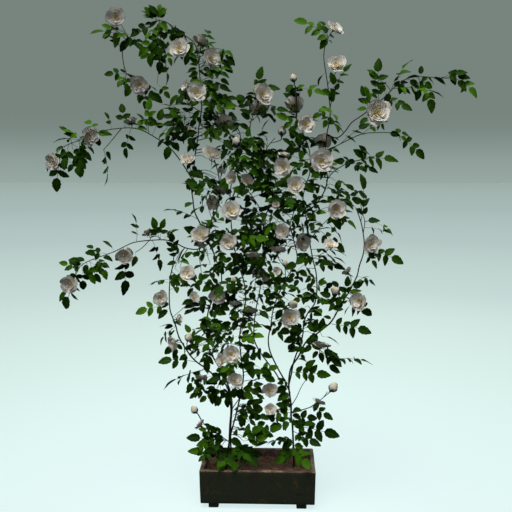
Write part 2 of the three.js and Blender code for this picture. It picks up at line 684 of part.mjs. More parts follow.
// A stalk leaves its cane a little lower down and meets the back of its flower square on
function stalk(flower, back, endRadius, samples) {
  const [x, y, z, , ...towards] = flower;
  const axis = new THREE.Vector3(...towards).normalize();
  const end = new THREE.Vector3(x, y, z).addScaledVector(axis, -back);
  const wanted = end.clone().addScaledVector(axis, -STALK_LEAD);
  wanted.z -= STALK_DROP;
  const start = nearest(samples, (p) => p.distanceToSquared(wanted));
  const bend = end.clone().addScaledVector(axis, -STALK_NECK);
  const curve = curveThrough([start.toArray(), bend.toArray(), end.toArray()]);
  return bar(curve, 2, STALK_SIDES, (t) => (t === 1 ? endRadius : STALK_RADIUS));
}

function nearest(points, distance) {
  return points.reduce((best, point) => (distance(point) < distance(best) ? point : best));
}

const rose = new THREE.Group();

function addPiece(name, body, color, roughness) {
  const material = new THREE.MeshStandardMaterial({ color, roughness, metalness: 0, flatShading: true });
  const mesh = new THREE.Mesh(geometryOf(body), material);
  mesh.name = name;
  rose.add(mesh);
}

addPiece("trough", trough(), 0x20241c, 0.35);
addPiece("soil", soil(), 0x3f2f28, 0.95);

let bloomCount = 0;
for (const [name, { canes, blooms, buds, leaves, fill }] of Object.entries(STEMS)) {
  const main = cane(canes[0], canes[0][2][0][2] > SOIL_TOP);
  const parts = [solid(main.shape)];
  const samples = [...main.middle];
  for (const [footRadius, tipRadius, route] of canes.slice(1)) {
    const fork = new THREE.Vector3(...route[0]);
    const root = nearest(samples, (p) => p.distanceToSquared(fork));
    const { shape, middle } = cane([footRadius, tipRadius, [root.toArray(), ...route.slice(1)]], false);
    parts.push(solid(shape));
    samples.push(...middle);
  }
  for (const flower of blooms) {
    const radius = flower[3] / 2;
    const own = flower[3] >= OWN_PIECE_DIAMETER;
    const seat = CUP_DEPTH * radius;
    const [gap, hip] = own ? [CLEARANCE, HIP_RADIUS] : [-STALK_JOIN, STALK_RADIUS];
    parts.push(solid(stalk(flower, seat + gap, hip, samples)));
    const open = flower[3] > HALF_OPEN_DIAMETER;
    const petals = open ? turned(OPEN_PROFILE, radius, 10) : turned(HALF_OPEN_PROFILE, radius, 8);
    const shape = solid(facing(petals, flower));
    if (own) {
      bloomCount += 1;
      addPiece(`bloom_${String(bloomCount).padStart(2, "0")}`, shape, 0xe9e4dc, 0.6);
    } else {
      parts.push(shape);
    }
  }
  for (const flower of buds) {
    const radius = flower[3] / 2;
    parts.push(solid(stalk(flower, 0.6 * radius, STALK_RADIUS, samples)));
    parts.push(solid(facing(turned(BUD_PROFILE, radius, 6), flower)));
  }
  for (const [x, z, tipX, tipY, tipZ, held] of leaves) {
    const foot = nearest(samples, (p) => (p.x - x) ** 2 + (p.z - z) ** 2);
    const tip = new THREE.Vector3(tipX, tipY, tipZ);
    parts.push(solid(leaf(foot, tip, held, held === BROAD ? 2 : 1)));
  }
  for (const { foot, tip, held } of fillLeaves(main.middle, fill)) {
    parts.push(solid(leaf(foot, tip, held, 1)));
  }
  addPiece(name, wasm.Manifold.union(parts), 0x2a4a16, 0.6);
}

// The part's own origin is under the middle of its outline, on the surface that the feet stand on
const middle = new THREE.Box3().setFromObject(rose).getCenter(new THREE.Vector3());
rose.position.set(-middle.x, -middle.y, 0);

export default rose;
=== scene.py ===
# %% [markdown]
# # A white climbing rose in a glazed trough
# Two rose plants stand in a long trough of dark glazed stoneware and have grown into a thin, see-through
# screen about two metres high and nearly as wide. Nothing holds the screen up but the canes themselves.
# The lesson builds the trough, its soil, the canes, the leaves and the flowers, one after another.
#
# A plain solid model of the same rose comes first. It is called the frame here. It says where every stem
# and every larger bloom is, and each piece below takes the place of the solid that it dresses.

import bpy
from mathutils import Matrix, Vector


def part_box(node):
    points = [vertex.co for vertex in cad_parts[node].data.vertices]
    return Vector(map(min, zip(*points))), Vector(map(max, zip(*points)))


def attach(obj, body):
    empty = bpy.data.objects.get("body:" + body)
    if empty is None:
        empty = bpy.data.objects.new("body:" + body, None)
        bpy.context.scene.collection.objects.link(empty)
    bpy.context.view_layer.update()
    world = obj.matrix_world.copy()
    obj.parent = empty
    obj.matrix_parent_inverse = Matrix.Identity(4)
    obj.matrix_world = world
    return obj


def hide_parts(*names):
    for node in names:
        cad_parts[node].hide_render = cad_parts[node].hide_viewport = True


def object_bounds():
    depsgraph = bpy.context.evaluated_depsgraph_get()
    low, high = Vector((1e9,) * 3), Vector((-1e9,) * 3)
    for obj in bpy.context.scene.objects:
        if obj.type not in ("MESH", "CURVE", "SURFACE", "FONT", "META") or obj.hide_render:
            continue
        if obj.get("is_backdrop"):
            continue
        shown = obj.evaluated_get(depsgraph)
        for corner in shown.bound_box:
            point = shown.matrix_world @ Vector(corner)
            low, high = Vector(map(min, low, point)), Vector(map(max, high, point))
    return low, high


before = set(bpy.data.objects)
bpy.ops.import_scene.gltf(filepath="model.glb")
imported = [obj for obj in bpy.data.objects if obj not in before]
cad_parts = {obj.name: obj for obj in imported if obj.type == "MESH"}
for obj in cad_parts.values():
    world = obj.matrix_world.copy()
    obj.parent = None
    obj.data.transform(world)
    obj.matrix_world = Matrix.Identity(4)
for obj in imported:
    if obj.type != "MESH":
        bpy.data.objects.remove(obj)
cad_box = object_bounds()
print("frame nodes:", len(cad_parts))

# %% [markdown]
# ## One origin for all tables
# Blender works in metres, and a gardener measures a plant in millimetres from the middle of its pot. The
# tables below keep the gardener's numbers. One matrix turns them into Blender's at the very end of each
# piece, so no number is converted twice. The measures of the trough stand here, because its shape, its
# glaze and its soil all follow them.

# %% Millimetres from the middle of the trough
import math
import random

import bmesh
import bpy
from mathutils import Matrix, Quaternion, Vector, noise
from mathutils.geometry import interpolate_bezier

MM = 0.001
TROUGH_LENGTH, TROUGH_DEPTH, TROUGH_HEIGHT = 500, 266, 170
WALL, FLOOR, FOOT_HEIGHT, FOOT_SIDE = 20, 20, 22, 44
FOOT_INSET_END, FOOT_INSET_FRONT, FOOT_JOIN = 38, 10, 4
TAPER, DRAIN_RADIUS, DRAIN_SPACING = 0.985, 8, 250
SOIL_TOP = 138

trough_low, trough_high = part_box("trough")
trough_middle = (trough_low + trough_high) / 2
trough_middle.z = 0
TO_FRAME = Matrix.Translation(trough_middle) @ Matrix.Scale(MM, 4)
scene = bpy.context.scene
print("middle of the trough, m:", [round(value, 4) for value in trough_middle])

# %% [markdown]
# ## The camera
# The picture looks slightly down on the rose from about three metres in front, at the height of a
# standing person's chin. A 50 mm lens on a 36 mm sensor gives the mild perspective that shows the soil
# in the trough and still keeps the tall canes upright.

# %% Camera
CAMERA_PLACE = Vector((88, -3034, 1468))
LOOKS_DOWN, LOOKS_LEFT = math.radians(7.21), math.radians(1.85)

lens = bpy.data.cameras.new("camera")
lens.lens = 50
lens.sensor_width = 36
camera = bpy.data.objects.new("camera", lens)
camera.location = TO_FRAME @ CAMERA_PLACE
camera.rotation_euler = (math.pi / 2 - LOOKS_DOWN, 0, LOOKS_LEFT)
scene.collection.objects.link(camera)
scene.camera = camera
print("camera at, m:", [round(value, 3) for value in camera.location])

# %% [markdown]
# ## Colours and nodes
# Colours are easiest to pick as the hex codes of a paint program, which are sRGB. Shaders add up light,
# so they need linear numbers, and one function converts them. A second one adds a shader node, sets it
# and wires it. The others start and finish a material. All finishes below are made with these few.

# %% Helpers for materials
def linear(hex_code):
    """The linear RGBA of an sRGB hex colour."""
    parts = [int(hex_code[i : i + 2], 16) / 255 for i in (1, 3, 5)]
    return (*[c / 12.92 if c <= 0.04045 else ((c + 0.055) / 1.055) ** 2.4 for c in parts], 1.0)


def add_node(tree, kind, inputs=(), **settings):
    """Adds a node. An input is a plain value, or the output of another node that is wired to it."""
    node = tree.nodes.new(kind)
    for name, value in settings.items():
        setattr(node, name, value)
    for name, value in dict(inputs).items():
        if isinstance(value, bpy.types.NodeSocket):
            tree.links.new(value, node.inputs[name])
        else:
            node.inputs[name].default_value = value
    return node


def start_material(name, **sockets):
    """A material with one Principled shader, its uniform values set on the shader's own sockets."""
    material = bpy.data.materials.new(name)
    material.use_nodes = True
    tree = material.node_tree
    shader = tree.nodes["Principled BSDF"]
    for socket, value in sockets.items():
        shader.inputs[socket.replace("_", " ")].default_value = value
    return material, tree, shader


def colour_stops(ramp_node, stops):
    """Gives a Color Ramp its colours, from (place, hex colour) pairs."""
    ramp = ramp_node.color_ramp
    while len(ramp.elements) < len(stops):
        ramp.elements.new(1.0)
    for element, (place, hex_code) in zip(ramp.elements, stops):
        element.position = place
        element.color = linear(hex_code)
    return ramp_node.outputs["Color"]


def finish_material(material, colour, height, strength, distance, **settings):
    """Wires the base colour, and a Bump node that turns a height into relief of that many metres."""
    tree = material.node_tree
    shader = tree.nodes["Principled BSDF"]
    tree.links.new(colour, shader.inputs["Base Color"])
    relief = {"Height": height, "Strength": strength, "Distance": distance}
    bump = add_node(tree, "ShaderNodeBump", relief, **settings)
    tree.links.new(bump.outputs[0], shader.inputs["Normal"])
    print(material.name, len(tree.nodes), "nodes")


print("white is", [round(value, 3) for value in linear("#ffffff")])

# %% [markdown]
# ## Light
# A potted rose is best judged on a plain pale floor under soft light from above, so that cupped petals are
# bright where they look up and grey where they lean over. A Sun lamp gives the same light to the top and the
# foot of a tall plant, and a wide angle makes its shadows soft. Large lamps in front and behind lift the
# shadows a little. All of them are aimed at the middle of the plant.

# %% Lamps
PLANT_MIDDLE = Vector((0, 0, 1.05))


def add_lamp(name, kind, place, power, colour, width):
    lamp = bpy.data.lights.new(name, kind)
    lamp.energy = power
    lamp.color = linear(colour)[:3]
    setattr(lamp, "angle" if kind == "SUN" else "size", width)
    holder = bpy.data.objects.new(name, lamp)
    holder.location = place
    holder.rotation_euler = (PLANT_MIDDLE - Vector(place)).to_track_quat("-Z", "Y").to_euler()
    scene.collection.objects.link(holder)


add_lamp("key_sun", "SUN", (-0.5, -1.3, 5.2), 2.9, "#fffbf0", 0.7)
add_lamp("sky_light", "SUN", (0, -0.8, 5.2), 0.5, "#f6faff", 3.0)
add_lamp("front_lamp", "AREA", (-0.6, -4.2, 2.4), 9, "#fffaf0", 2.0)
add_lamp("back_lamp", "AREA", (1.2, 4.2, 2.8), 22, "#fffaf0", 2.5)

# %% [markdown]
# ## Room
# The room is a grey that gets lighter towards the floor. It is there to be seen only. If it lit the plant,
# the undersides of leaves and petals would lose their depth.

# %% A grey room
sky = bpy.data.worlds.new("grey_room")
sky.use_nodes = True
room = sky.node_tree
heading = add_node(room, "ShaderNodeTexCoord").outputs["Generated"]
height = add_node(room, "ShaderNodeSeparateXYZ", {"Vector": heading}).outputs["Z"]
band = add_node(room, "ShaderNodeMapRange", {"Value": height, "From Min": -0.06, "From Max": 0.08})
grey = colour_stops(
    add_node(room, "ShaderNodeValToRGB", {"Fac": band.outputs[0]}),
    [(0.1, "#69716d"), (0.22, "#99aaa4"), (0.5, "#8e9d98"), (0.65, "#83928c"), (0.8, "#7a8782"),
     (0.95, "#78847e")],
)
room.links.new(grey, room.nodes["Background"].inputs["Color"])
sky.cycles_visibility.diffuse = False
scene.world = sky
scene.view_settings.view_transform = "Standard"
print(sky.name, len(room.nodes), "nodes")

# %% [markdown]
# ## Floor
# The floor is pale acrylic that glows evenly, so it shows no shadow edge. It is wide, and its glow fades
# towards the grey of the room, so that no hard horizon crosses the picture. Like the room, it doesn't light
# the plant.

# %% A glowing floor
FLOOR_REACH = 60.0
floor_paint, tree, shader = start_material(
    "pale_matt_acrylic", Roughness=0.9, Specular_IOR_Level=0.1, Emission_Strength=1.0
)
shader.inputs["Base Color"].default_value = linear("#6f7675")
place = add_node(tree, "ShaderNodeTexCoord").outputs["Object"]
away = add_node(tree, "ShaderNodeVectorMath", {0: place}, operation="LENGTH")
far = add_node(tree, "ShaderNodeMapRange", {"Value": away.outputs["Value"], "From Max": FLOOR_REACH})
fade = colour_stops(
    add_node(tree, "ShaderNodeValToRGB", {"Fac": far.outputs[0]}),
    [(0, "#d5e8e9"), (0.02, "#c9e0df"), (0.042, "#bdd4d0"), (0.092, "#a8bebb"), (0.187, "#93a6a5"),
     (0.37, "#809493"), (0.93, "#70827e")],
)
tree.links.new(fade, shader.inputs["Emission Color"])
bm = bmesh.new()
bmesh.ops.create_grid(bm, x_segments=1, y_segments=1, size=FLOOR_REACH)
floor_mesh = bpy.data.meshes.new("floor")
bm.to_mesh(floor_mesh)
bm.free()
floor_mesh.materials.append(floor_paint)
floor = bpy.data.objects.new("floor", floor_mesh)
floor.visible_diffuse = floor.visible_glossy = False
scene.collection.objects.link(floor)
floor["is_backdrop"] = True
print("the floor reaches", FLOOR_REACH, "m from the trough")

# %% [markdown]
# ## Finishing a piece
# Every piece is shaped in a bmesh, in millimetres. This helper moves it into Blender's metres, gives it
# its materials, ties it to the one rigid body and hides the solids of the frame that it stands for.

# %% Helper: from bmesh to piece
def make_piece(name, bm, materials, slot, *solids):
    bmesh.ops.transform(bm, matrix=TO_FRAME, verts=bm.verts)
    mesh = bpy.data.meshes.new(name)
    bm.to_mesh(mesh)
    bm.free()
    for material in materials:
        mesh.materials.append(material)
    piece = bpy.data.objects.new(name, mesh)
    scene.collection.objects.link(piece)
    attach(piece, "root")
    if solids:
        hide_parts(*solids)
    print(name, "has", len(mesh.polygons), "faces")
    return piece


# %% [markdown]
# ## Stoneware glaze
# The trough is fired stoneware under a dark, nearly black green glaze. Glaze runs thin on edges while it
# melts, so the brown body shows at the corners, and years of knocks have chipped the rim down to pale
# clay. Two things are mixed: a slow cloudy mottle, and a mask that grows towards the rim and the upright
# corners and is broken up by finer noise. The mask reads the place in space, because it follows the form.

# %% Material: dark glazed stoneware
WORN_RIM, WORN_CORNER = 18, 14

glaze, tree, shader = start_material(
    "dark_glazed_stoneware", IOR=1.5, Specular_IOR_Level=0.25, Coat_Weight=0.06, Coat_Roughness=0.3
)
place = add_node(tree, "ShaderNodeTexCoord").outputs["Object"]
centred = add_node(tree, "ShaderNodeMapping", {"Vector": place, "Location": -trough_middle}).outputs[0]
cloud = add_node(
    tree, "ShaderNodeTexNoise", {"Vector": centred, "Scale": 22.0, "Detail": 6.0, "Roughness": 0.65}
)
speck = add_node(
    tree, "ShaderNodeTexNoise", {"Vector": centred, "Scale": 120.0, "Detail": 4.0, "Roughness": 0.7}
)
mottle = colour_stops(
    add_node(tree, "ShaderNodeValToRGB", {"Fac": cloud.outputs["Fac"]}),
    [(0.3, "#1a1712"), (0.44, "#2b2a20"), (0.54, "#1c2a1b"), (0.66, "#3d3023"), (0.8, "#5c4d3b")],
)
axes = add_node(tree, "ShaderNodeSeparateXYZ", {"Vector": centred})
worn_from, worn_to = (TROUGH_HEIGHT - WORN_RIM) * MM, (TROUGH_HEIGHT + 1) * MM
near_rim = add_node(
    tree, "ShaderNodeMapRange", {"Value": axes.outputs["Z"], "From Min": worn_from, "From Max": worn_to}
)
near_ends = []
for axis, size in (("X", TROUGH_LENGTH), ("Y", TROUGH_DEPTH)):
    off_middle = add_node(tree, "ShaderNodeMath", {0: axes.outputs[axis]}, operation="ABSOLUTE")
    limits = {"From Min": (size / 2 - WORN_CORNER) * MM, "From Max": size / 2 * MM}
    near_end = add_node(tree, "ShaderNodeMapRange", {"Value": off_middle.outputs[0], **limits})
    near_ends.append(near_end.outputs[0])
corner = add_node(tree, "ShaderNodeMath", {0: near_ends[0], 1: near_ends[1]}, operation="MULTIPLY")
edge = add_node(tree, "ShaderNodeMath", {0: near_rim.outputs[0], 1: corner.outputs[0]}, operation="MAXIMUM")
chance = add_node(tree, "ShaderNodeMath", {0: speck.outputs["Fac"], 1: cloud.outputs["Fac"]}, operation="ADD")
wear = add_node(
    tree, "ShaderNodeMath", {0: edge.outputs[0], 1: chance.outputs[0], 2: -0.72}, operation="MULTIPLY_ADD"
)
worn = colour_stops(
    add_node(tree, "ShaderNodeValToRGB", {"Fac": wear.outputs[0]}),
    [(0.0, "#2e2019"), (0.18, "#57402f"), (0.34, "#8d7d6a"), (0.6, "#a79a87")],
)
shows = add_node(tree, "ShaderNodeMapRange", {"Value": wear.outputs[0], "From Min": -0.06, "From Max": 0.1})
paint = add_node(tree, "ShaderNodeMix", {"Factor": shows.outputs[0], 6: mottle, 7: worn}, data_type="RGBA")
gloss = add_node(tree, "ShaderNodeMapRange", {"Value": speck.outputs["Fac"], "To Min": 0.4, "To Max": 0.75})
tree.links.new(gloss.outputs[0], shader.inputs["Roughness"])
finish_material(glaze, paint.outputs[2], chance.outputs[0], 0.25, 0.002)

# %% [markdown]
# Nobody glazes the inside of a trough. There the bare clay is brown, matt and blotchy, and its colour is
# kept pale as painted light, since little light reaches the inside of the trough.

# %% Material: bare clay, kept pale as painted light
bare_clay, tree, _ = start_material("bare_clay_with_painted_light", Roughness=0.95, Specular_IOR_Level=0.1)
place = add_node(tree, "ShaderNodeTexCoord").outputs["Object"]
blotch = add_node(
    tree, "ShaderNodeTexNoise", {"Vector": place, "Scale": 30.0, "Detail": 5.0, "Roughness": 0.7}
)
# Paler browns than the clay alone: painted light for the shaded inside.
clay_and_painted_light = colour_stops(
    add_node(tree, "ShaderNodeValToRGB", {"Fac": blotch.outputs["Fac"]}),
    [(0.35, "#4b3f3d"), (0.5, "#6b5b58"), (0.62, "#85766c"), (0.75, "#9a8a7c")],
)
finish_material(bare_clay, clay_and_painted_light, blotch.outputs["Fac"], 0.4, 0.002)

# %% [markdown]
# ## The trough
# A trough like this is pressed in a mould: straight walls that narrow a little downwards, soft edges, a
# thick rim and four square feet. A cube is the natural start. Its top face is inset by the wall's
# thickness and pushed down to make the hollow, and every edge is rounded by a small bevel. Long walls are
# cut into short spans, which slow noise then moves by less than a millimetre, since no pressed wall is
# quite true. Blender starts that noise from the clock unless it is given a seed, so it gets one.

# %% Trough
ROUNDING, LONG_EDGE, SPAN_CUTS = 4, 60, 7
WALL_WAVE, WAVE_SCALE, WAVE_SEED = 0.9, 0.012, 1


def add_block(bm, size, centre):
    """A box of that size, as a cube scaled and moved."""
    matrix = Matrix.LocRotScale(Vector(centre), None, Vector(size))
    bmesh.ops.create_cube(bm, size=1, matrix=matrix)


bm = bmesh.new()
body_height = TROUGH_HEIGHT - FOOT_HEIGHT
add_block(bm, (TROUGH_LENGTH, TROUGH_DEPTH, body_height), (0, 0, FOOT_HEIGHT + body_height / 2))
top = max(bm.faces, key=lambda face: face.calc_center_median().z)
bmesh.ops.inset_region(bm, faces=[top], thickness=WALL, use_even_offset=True)
hollow = bmesh.ops.extrude_discrete_faces(bm, faces=[top])["faces"][0]
for corner_vert in hollow.verts:
    corner_vert.co.z = FOOT_HEIGHT + FLOOR
bottom = [v for v in bm.verts if v.co.z < FOOT_HEIGHT + 1]
bmesh.ops.scale(bm, vec=(TAPER, TAPER, 1), verts=bottom)
foot_x = TROUGH_LENGTH / 2 - FOOT_INSET_END - FOOT_SIDE / 2
foot_y = TROUGH_DEPTH / 2 - FOOT_INSET_FRONT - FOOT_SIDE / 2
foot_block = FOOT_HEIGHT + FOOT_JOIN
for x in (-foot_x, foot_x):
    for y in (-foot_y, foot_y):
        add_block(bm, (FOOT_SIDE, FOOT_SIDE, foot_block), (x, y, foot_block / 2))
bmesh.ops.recalc_face_normals(bm, faces=bm.faces)
bmesh.ops.bevel(
    bm, geom=bm.edges[:], offset=ROUNDING, affect="EDGES", segments=3, profile=0.5, material=-1
)
long_edges = [e for e in bm.edges if e.calc_length() > LONG_EDGE]
bmesh.ops.subdivide_edges(bm, edges=long_edges, cuts=SPAN_CUTS, use_grid_fill=True)
bmesh.ops.triangulate(bm, faces=[f for f in bm.faces if len(f.verts) > 4])
noise.seed_set(WAVE_SEED)
for vert in bm.verts:
    vert.co += WALL_WAVE * noise.noise_vector(vert.co * WAVE_SCALE)
    vert.co.z = max(vert.co.z, 0)
inner_x, inner_y = TROUGH_LENGTH / 2 - WALL + 1, TROUGH_DEPTH / 2 - WALL + 1
for face in bm.faces:
    face.smooth = True
    middle = face.calc_center_median()
    inside = abs(middle.x) < inner_x and abs(middle.y) < inner_y and middle.z > FOOT_HEIGHT + FLOOR / 2
    face.material_index = int(inside)
trough = make_piece("stoneware_trough", bm, [glaze, bare_clay], "trough", "trough")

# %% [markdown]
# Surplus water has to drain, or the roots rot. Two round plugs are taken out of the floor with a Boolean
# modifier, whose result is then kept as the trough's own mesh.

# %% Drain holes
bm = bmesh.new()
for x in (-DRAIN_SPACING / 2, DRAIN_SPACING / 2):
    place = Matrix.Translation((x, 0, FOOT_HEIGHT + FLOOR / 2))
    bmesh.ops.create_cone(
        bm, cap_ends=True, segments=24, matrix=place,
        radius1=DRAIN_RADIUS, radius2=DRAIN_RADIUS, depth=2 * FLOOR,
    )
bmesh.ops.transform(bm, matrix=TO_FRAME, verts=bm.verts)
plug_mesh = bpy.data.meshes.new("drain_plugs")
bm.to_mesh(plug_mesh)
bm.free()
plugs = bpy.data.objects.new("drain_plugs", plug_mesh)
scene.collection.objects.link(plugs)
cut = trough.modifiers.new("drain_holes", "BOOLEAN")
cut.operation, cut.object, cut.solver = "DIFFERENCE", plugs, "EXACT"
bored = bpy.data.meshes.new_from_object(trough.evaluated_get(bpy.context.evaluated_depsgraph_get()))
trough.modifiers.clear()
trough.data = bored
bpy.data.objects.remove(plugs)
print("trough with drain holes has", len(bored.polygons), "faces")

# %% [markdown]
# ## Potting soil
# Potting soil is dark, crumbly and never level. Its surface is a fine grid lifted by a slow swell and two
# sizes of noise, with a block pulled down from it so that it is closed all round. Loose crumbs are small
# rough balls on top.

# %% Material: moist potting soil
soil_finish, tree, _ = start_material("moist_potting_soil", Roughness=0.95, Specular_IOR_Level=0.2)
place = add_node(tree, "ShaderNodeTexCoord").outputs["Object"]
clods = add_node(
    tree, "ShaderNodeTexNoise", {"Vector": place, "Scale": 38.0, "Detail": 8.0, "Roughness": 0.7}
)
grains = add_node(tree, "ShaderNodeTexNoise", {"Vector": place, "Scale": 260.0, "Detail": 3.0})
mixed = add_node(
    tree, "ShaderNodeMath", {0: clods.outputs["Fac"], 1: grains.outputs["Fac"]}, operation="ADD"
)
halved = add_node(tree, "ShaderNodeMath", {0: mixed.outputs[0], 1: 0.5}, operation="MULTIPLY")
earth = colour_stops(
    add_node(tree, "ShaderNodeValToRGB", {"Fac": halved.outputs[0]}),
    [(0.34, "#35271f"), (0.46, "#684f3d"), (0.56, "#8c6f5c"), (0.7, "#ad9582")],
)
finish_material(soil_finish, earth, mixed.outputs[0], 0.6, 0.003)

# %% [markdown]
# The block of soil stands just clear of the inner walls and floor, so that no two surfaces share a place.

# %% Soil
SOIL_EASE = 3
CRUMB_COUNT, CRUMB_X, CRUMB_Y, CRUMB_SIZES = 150, 218, 102, (1.5, 4.2)


def soil_height(x, y):
    spot = Vector((x, y, 0))
    swell = 4 * math.sin(0.031 * x + 1) * math.cos(0.047 * y - 0.6)
    return SOIL_TOP + swell + 3.0 * noise.noise(spot * 0.03) + 1.8 * noise.noise(spot * 0.11)


chance_of = random.Random(11)
soil_length, soil_depth = [side - 2 * WALL - SOIL_EASE for side in (TROUGH_LENGTH, TROUGH_DEPTH)]
bm = bmesh.new()
bmesh.ops.create_grid(bm, x_segments=92, y_segments=44, size=0.5)
bmesh.ops.scale(bm, vec=(soil_length, soil_depth, 1), verts=bm.verts)
surface = bm.verts[:]
made = bmesh.ops.extrude_face_region(bm, geom=bm.faces[:], use_keep_orig=True)
for element in made["geom"]:
    if isinstance(element, bmesh.types.BMVert):
        element.co.z = FOOT_HEIGHT + FLOOR + 1
for vert in surface:
    vert.co.z = soil_height(vert.co.x, vert.co.y)
bmesh.ops.recalc_face_normals(bm, faces=bm.faces)
for _ in range(CRUMB_COUNT):
    x, y = chance_of.uniform(-CRUMB_X, CRUMB_X), chance_of.uniform(-CRUMB_Y, CRUMB_Y)
    size = chance_of.uniform(*CRUMB_SIZES)
    crumb = bmesh.ops.create_icosphere(bm, subdivisions=1, radius=size)["verts"]
    bmesh.ops.scale(bm, vec=(1, chance_of.uniform(0.6, 1), 0.7), verts=crumb)
    bmesh.ops.translate(bm, vec=(x, y, soil_height(x, y) + 0.3 * size), verts=crumb)
make_piece("potting_soil", bm, [soil_finish], "soil", "soil")

# %% [markdown]
# ## Bark
# Old rose canes are brown and slightly ribbed, and young wood stays green for a year or two. Each point of
# a cane carries a number called tone, 0 at the woody foot and 1 at the green tip. The colour follows it,
# with streaks that are drawn out along the cane by noise that is squeezed in height.

# %% Material: rose bark
bark, tree, _ = start_material("rose_bark", Roughness=0.6, Specular_IOR_Level=0.35)
place = add_node(tree, "ShaderNodeTexCoord").outputs["Object"]
drawn_out = add_node(tree, "ShaderNodeMapping", {"Vector": place, "Scale": (1.0, 1.0, 0.25)}).outputs[0]
streaks = add_node(tree, "ShaderNodeTexNoise", {"Vector": drawn_out, "Scale": 180.0, "Detail": 4.0})
tone = add_node(tree, "ShaderNodeAttribute", attribute_name="tone")
blend = add_node(
    tree, "ShaderNodeMath",
    {0: streaks.outputs["Fac"], 1: 0.35, 2: tone.outputs["Fac"]}, operation="MULTIPLY_ADD",
)
wood_colour = colour_stops(
    add_node(tree, "ShaderNodeValToRGB", {"Fac": blend.outputs[0]}),
    [(0.1, "#17100b"), (0.35, "#241912"), (0.7, "#282314"), (1.0, "#2f3a16")],
)
finish_material(bark, wood_colour, streaks.outputs["Fac"], 0.4, 0.001)

# %% [markdown]
# ## Leaf blades
# A rose leaf is deep green and a little waxy, with a paler midrib and side veins. The leaflet's own UV map
# says where a point is on the blade: U runs from the stalk to the tip, V from edge to edge. The midrib
# is the line V = 0.5, and the side veins slant away from it. No two leaves are the same green, so the
# number called tone, which is one value for a whole leaf here, picks the green.

# %% Material: waxy rose leaf
VEIN_SLANT, VEIN_PITCH = -0.7, 44.0

leaf_finish, tree, _ = start_material("waxy_rose_leaf", Roughness=0.55, Specular_IOR_Level=0.06)
blade = add_node(tree, "ShaderNodeUVMap", uv_map="blade").outputs["UV"]
axes = add_node(tree, "ShaderNodeSeparateXYZ", {"Vector": blade})
off_rib = add_node(tree, "ShaderNodeMath", {0: axes.outputs["Y"], 1: 0.5}, operation="SUBTRACT")
from_rib = add_node(tree, "ShaderNodeMath", {0: off_rib.outputs[0]}, operation="ABSOLUTE").outputs[0]
slant = add_node(
    tree, "ShaderNodeMath", {0: from_rib, 1: VEIN_SLANT, 2: axes.outputs["X"]}, operation="MULTIPLY_ADD"
)
wave = add_node(tree, "ShaderNodeMath", {0: slant.outputs[0], 1: VEIN_PITCH}, operation="MULTIPLY")
vein = add_node(tree, "ShaderNodeMath", {0: wave.outputs[0]}, operation="SINE")
side_vein = add_node(
    tree, "ShaderNodeMapRange", {"Value": vein.outputs[0], "From Min": 0.75, "From Max": 1.0}
)
midrib = add_node(tree, "ShaderNodeMapRange", {"Value": from_rib, "From Min": 0.045, "From Max": 0.0})
soft_vein = add_node(tree, "ShaderNodeMath", {0: side_vein.outputs[0], 1: 0.35}, operation="MULTIPLY")
veins = add_node(
    tree, "ShaderNodeMath", {0: soft_vein.outputs[0], 1: midrib.outputs[0]}, operation="MAXIMUM"
)
place = add_node(tree, "ShaderNodeTexCoord").outputs["Object"]
patch = add_node(tree, "ShaderNodeTexNoise", {"Vector": place, "Scale": 60.0, "Detail": 2.0})
tone = add_node(tree, "ShaderNodeAttribute", attribute_name="tone")
pick = add_node(
    tree, "ShaderNodeMath",
    {0: patch.outputs["Fac"], 1: 0.3, 2: tone.outputs["Fac"]}, operation="MULTIPLY_ADD",
)
green = colour_stops(
    add_node(tree, "ShaderNodeValToRGB", {"Fac": pick.outputs[0]}),
    [(0.05, "#0a1d00"), (0.35, "#133201"), (0.7, "#264d04"), (1.0, "#44740c")],
)
rib_green = add_node(
    tree, "ShaderNodeMix", {"Factor": veins.outputs[0], 6: green, 7: linear("#365e0e")}, data_type="RGBA"
)
finish_material(leaf_finish, rib_green.outputs[2], veins.outputs[0], 0.3, 0.0006, invert=True)

# %% [markdown]
# ## Petals
# The petals are silky white. Close to their foot they turn cream and then yellow, which runs out in fine
# streaks. Towards the rim, most on the outer rings, the white turns grey, which is painted shade. U runs from
# the foot of a petal to its rim. Streaks follow the petal, so they come from noise that is stretched along U.

# %% Material: silky white petal
petal_finish, tree, _ = start_material(
    "silky_white_petal", Roughness=0.55, Specular_IOR_Level=0.3, Sheen_Weight=0.2
)
blade = add_node(tree, "ShaderNodeUVMap", uv_map="blade").outputs["UV"]
axes = add_node(tree, "ShaderNodeSeparateXYZ", {"Vector": blade})
along_petal = add_node(tree, "ShaderNodeMapping", {"Vector": blade, "Scale": (2.0, 16.0, 1.0)}).outputs[0]
streaks = add_node(tree, "ShaderNodeTexNoise", {"Vector": along_petal, "Scale": 1.6, "Detail": 4.0})
reach = add_node(
    tree, "ShaderNodeMath",
    {0: streaks.outputs["Fac"], 1: -0.5, 2: axes.outputs["X"]}, operation="MULTIPLY_ADD",
)
tone = add_node(tree, "ShaderNodeAttribute", attribute_name="tone")
yellow_to_painted_grey = add_node(
    tree, "ShaderNodeMath",
    {0: tone.outputs["Fac"], 1: -0.35, 2: reach.outputs[0]}, operation="MULTIPLY_ADD",
)
# The last stop is painted shade: grey at the rims, most of all on the outer ring.
silk_and_painted_shade = colour_stops(
    add_node(tree, "ShaderNodeValToRGB", {"Fac": yellow_to_painted_grey.outputs[0]}),
    [(0.0, "#e3cc8f"), (0.12, "#ebe0ba"), (0.26, "#ece8dd"), (0.45, "#ebebe6"), (0.75, "#e4e4df"),
     (1.0, "#a29e92")],
)
finish_material(petal_finish, silk_and_painted_shade, streaks.outputs["Fac"], 0.15, 0.0006)

# %% [markdown]
# ## Stamens
# In the middle of an open rose stands a ring of fine yellow stamens. Their pollen sacks are matt and
# golden, and darken to ochre as they age.

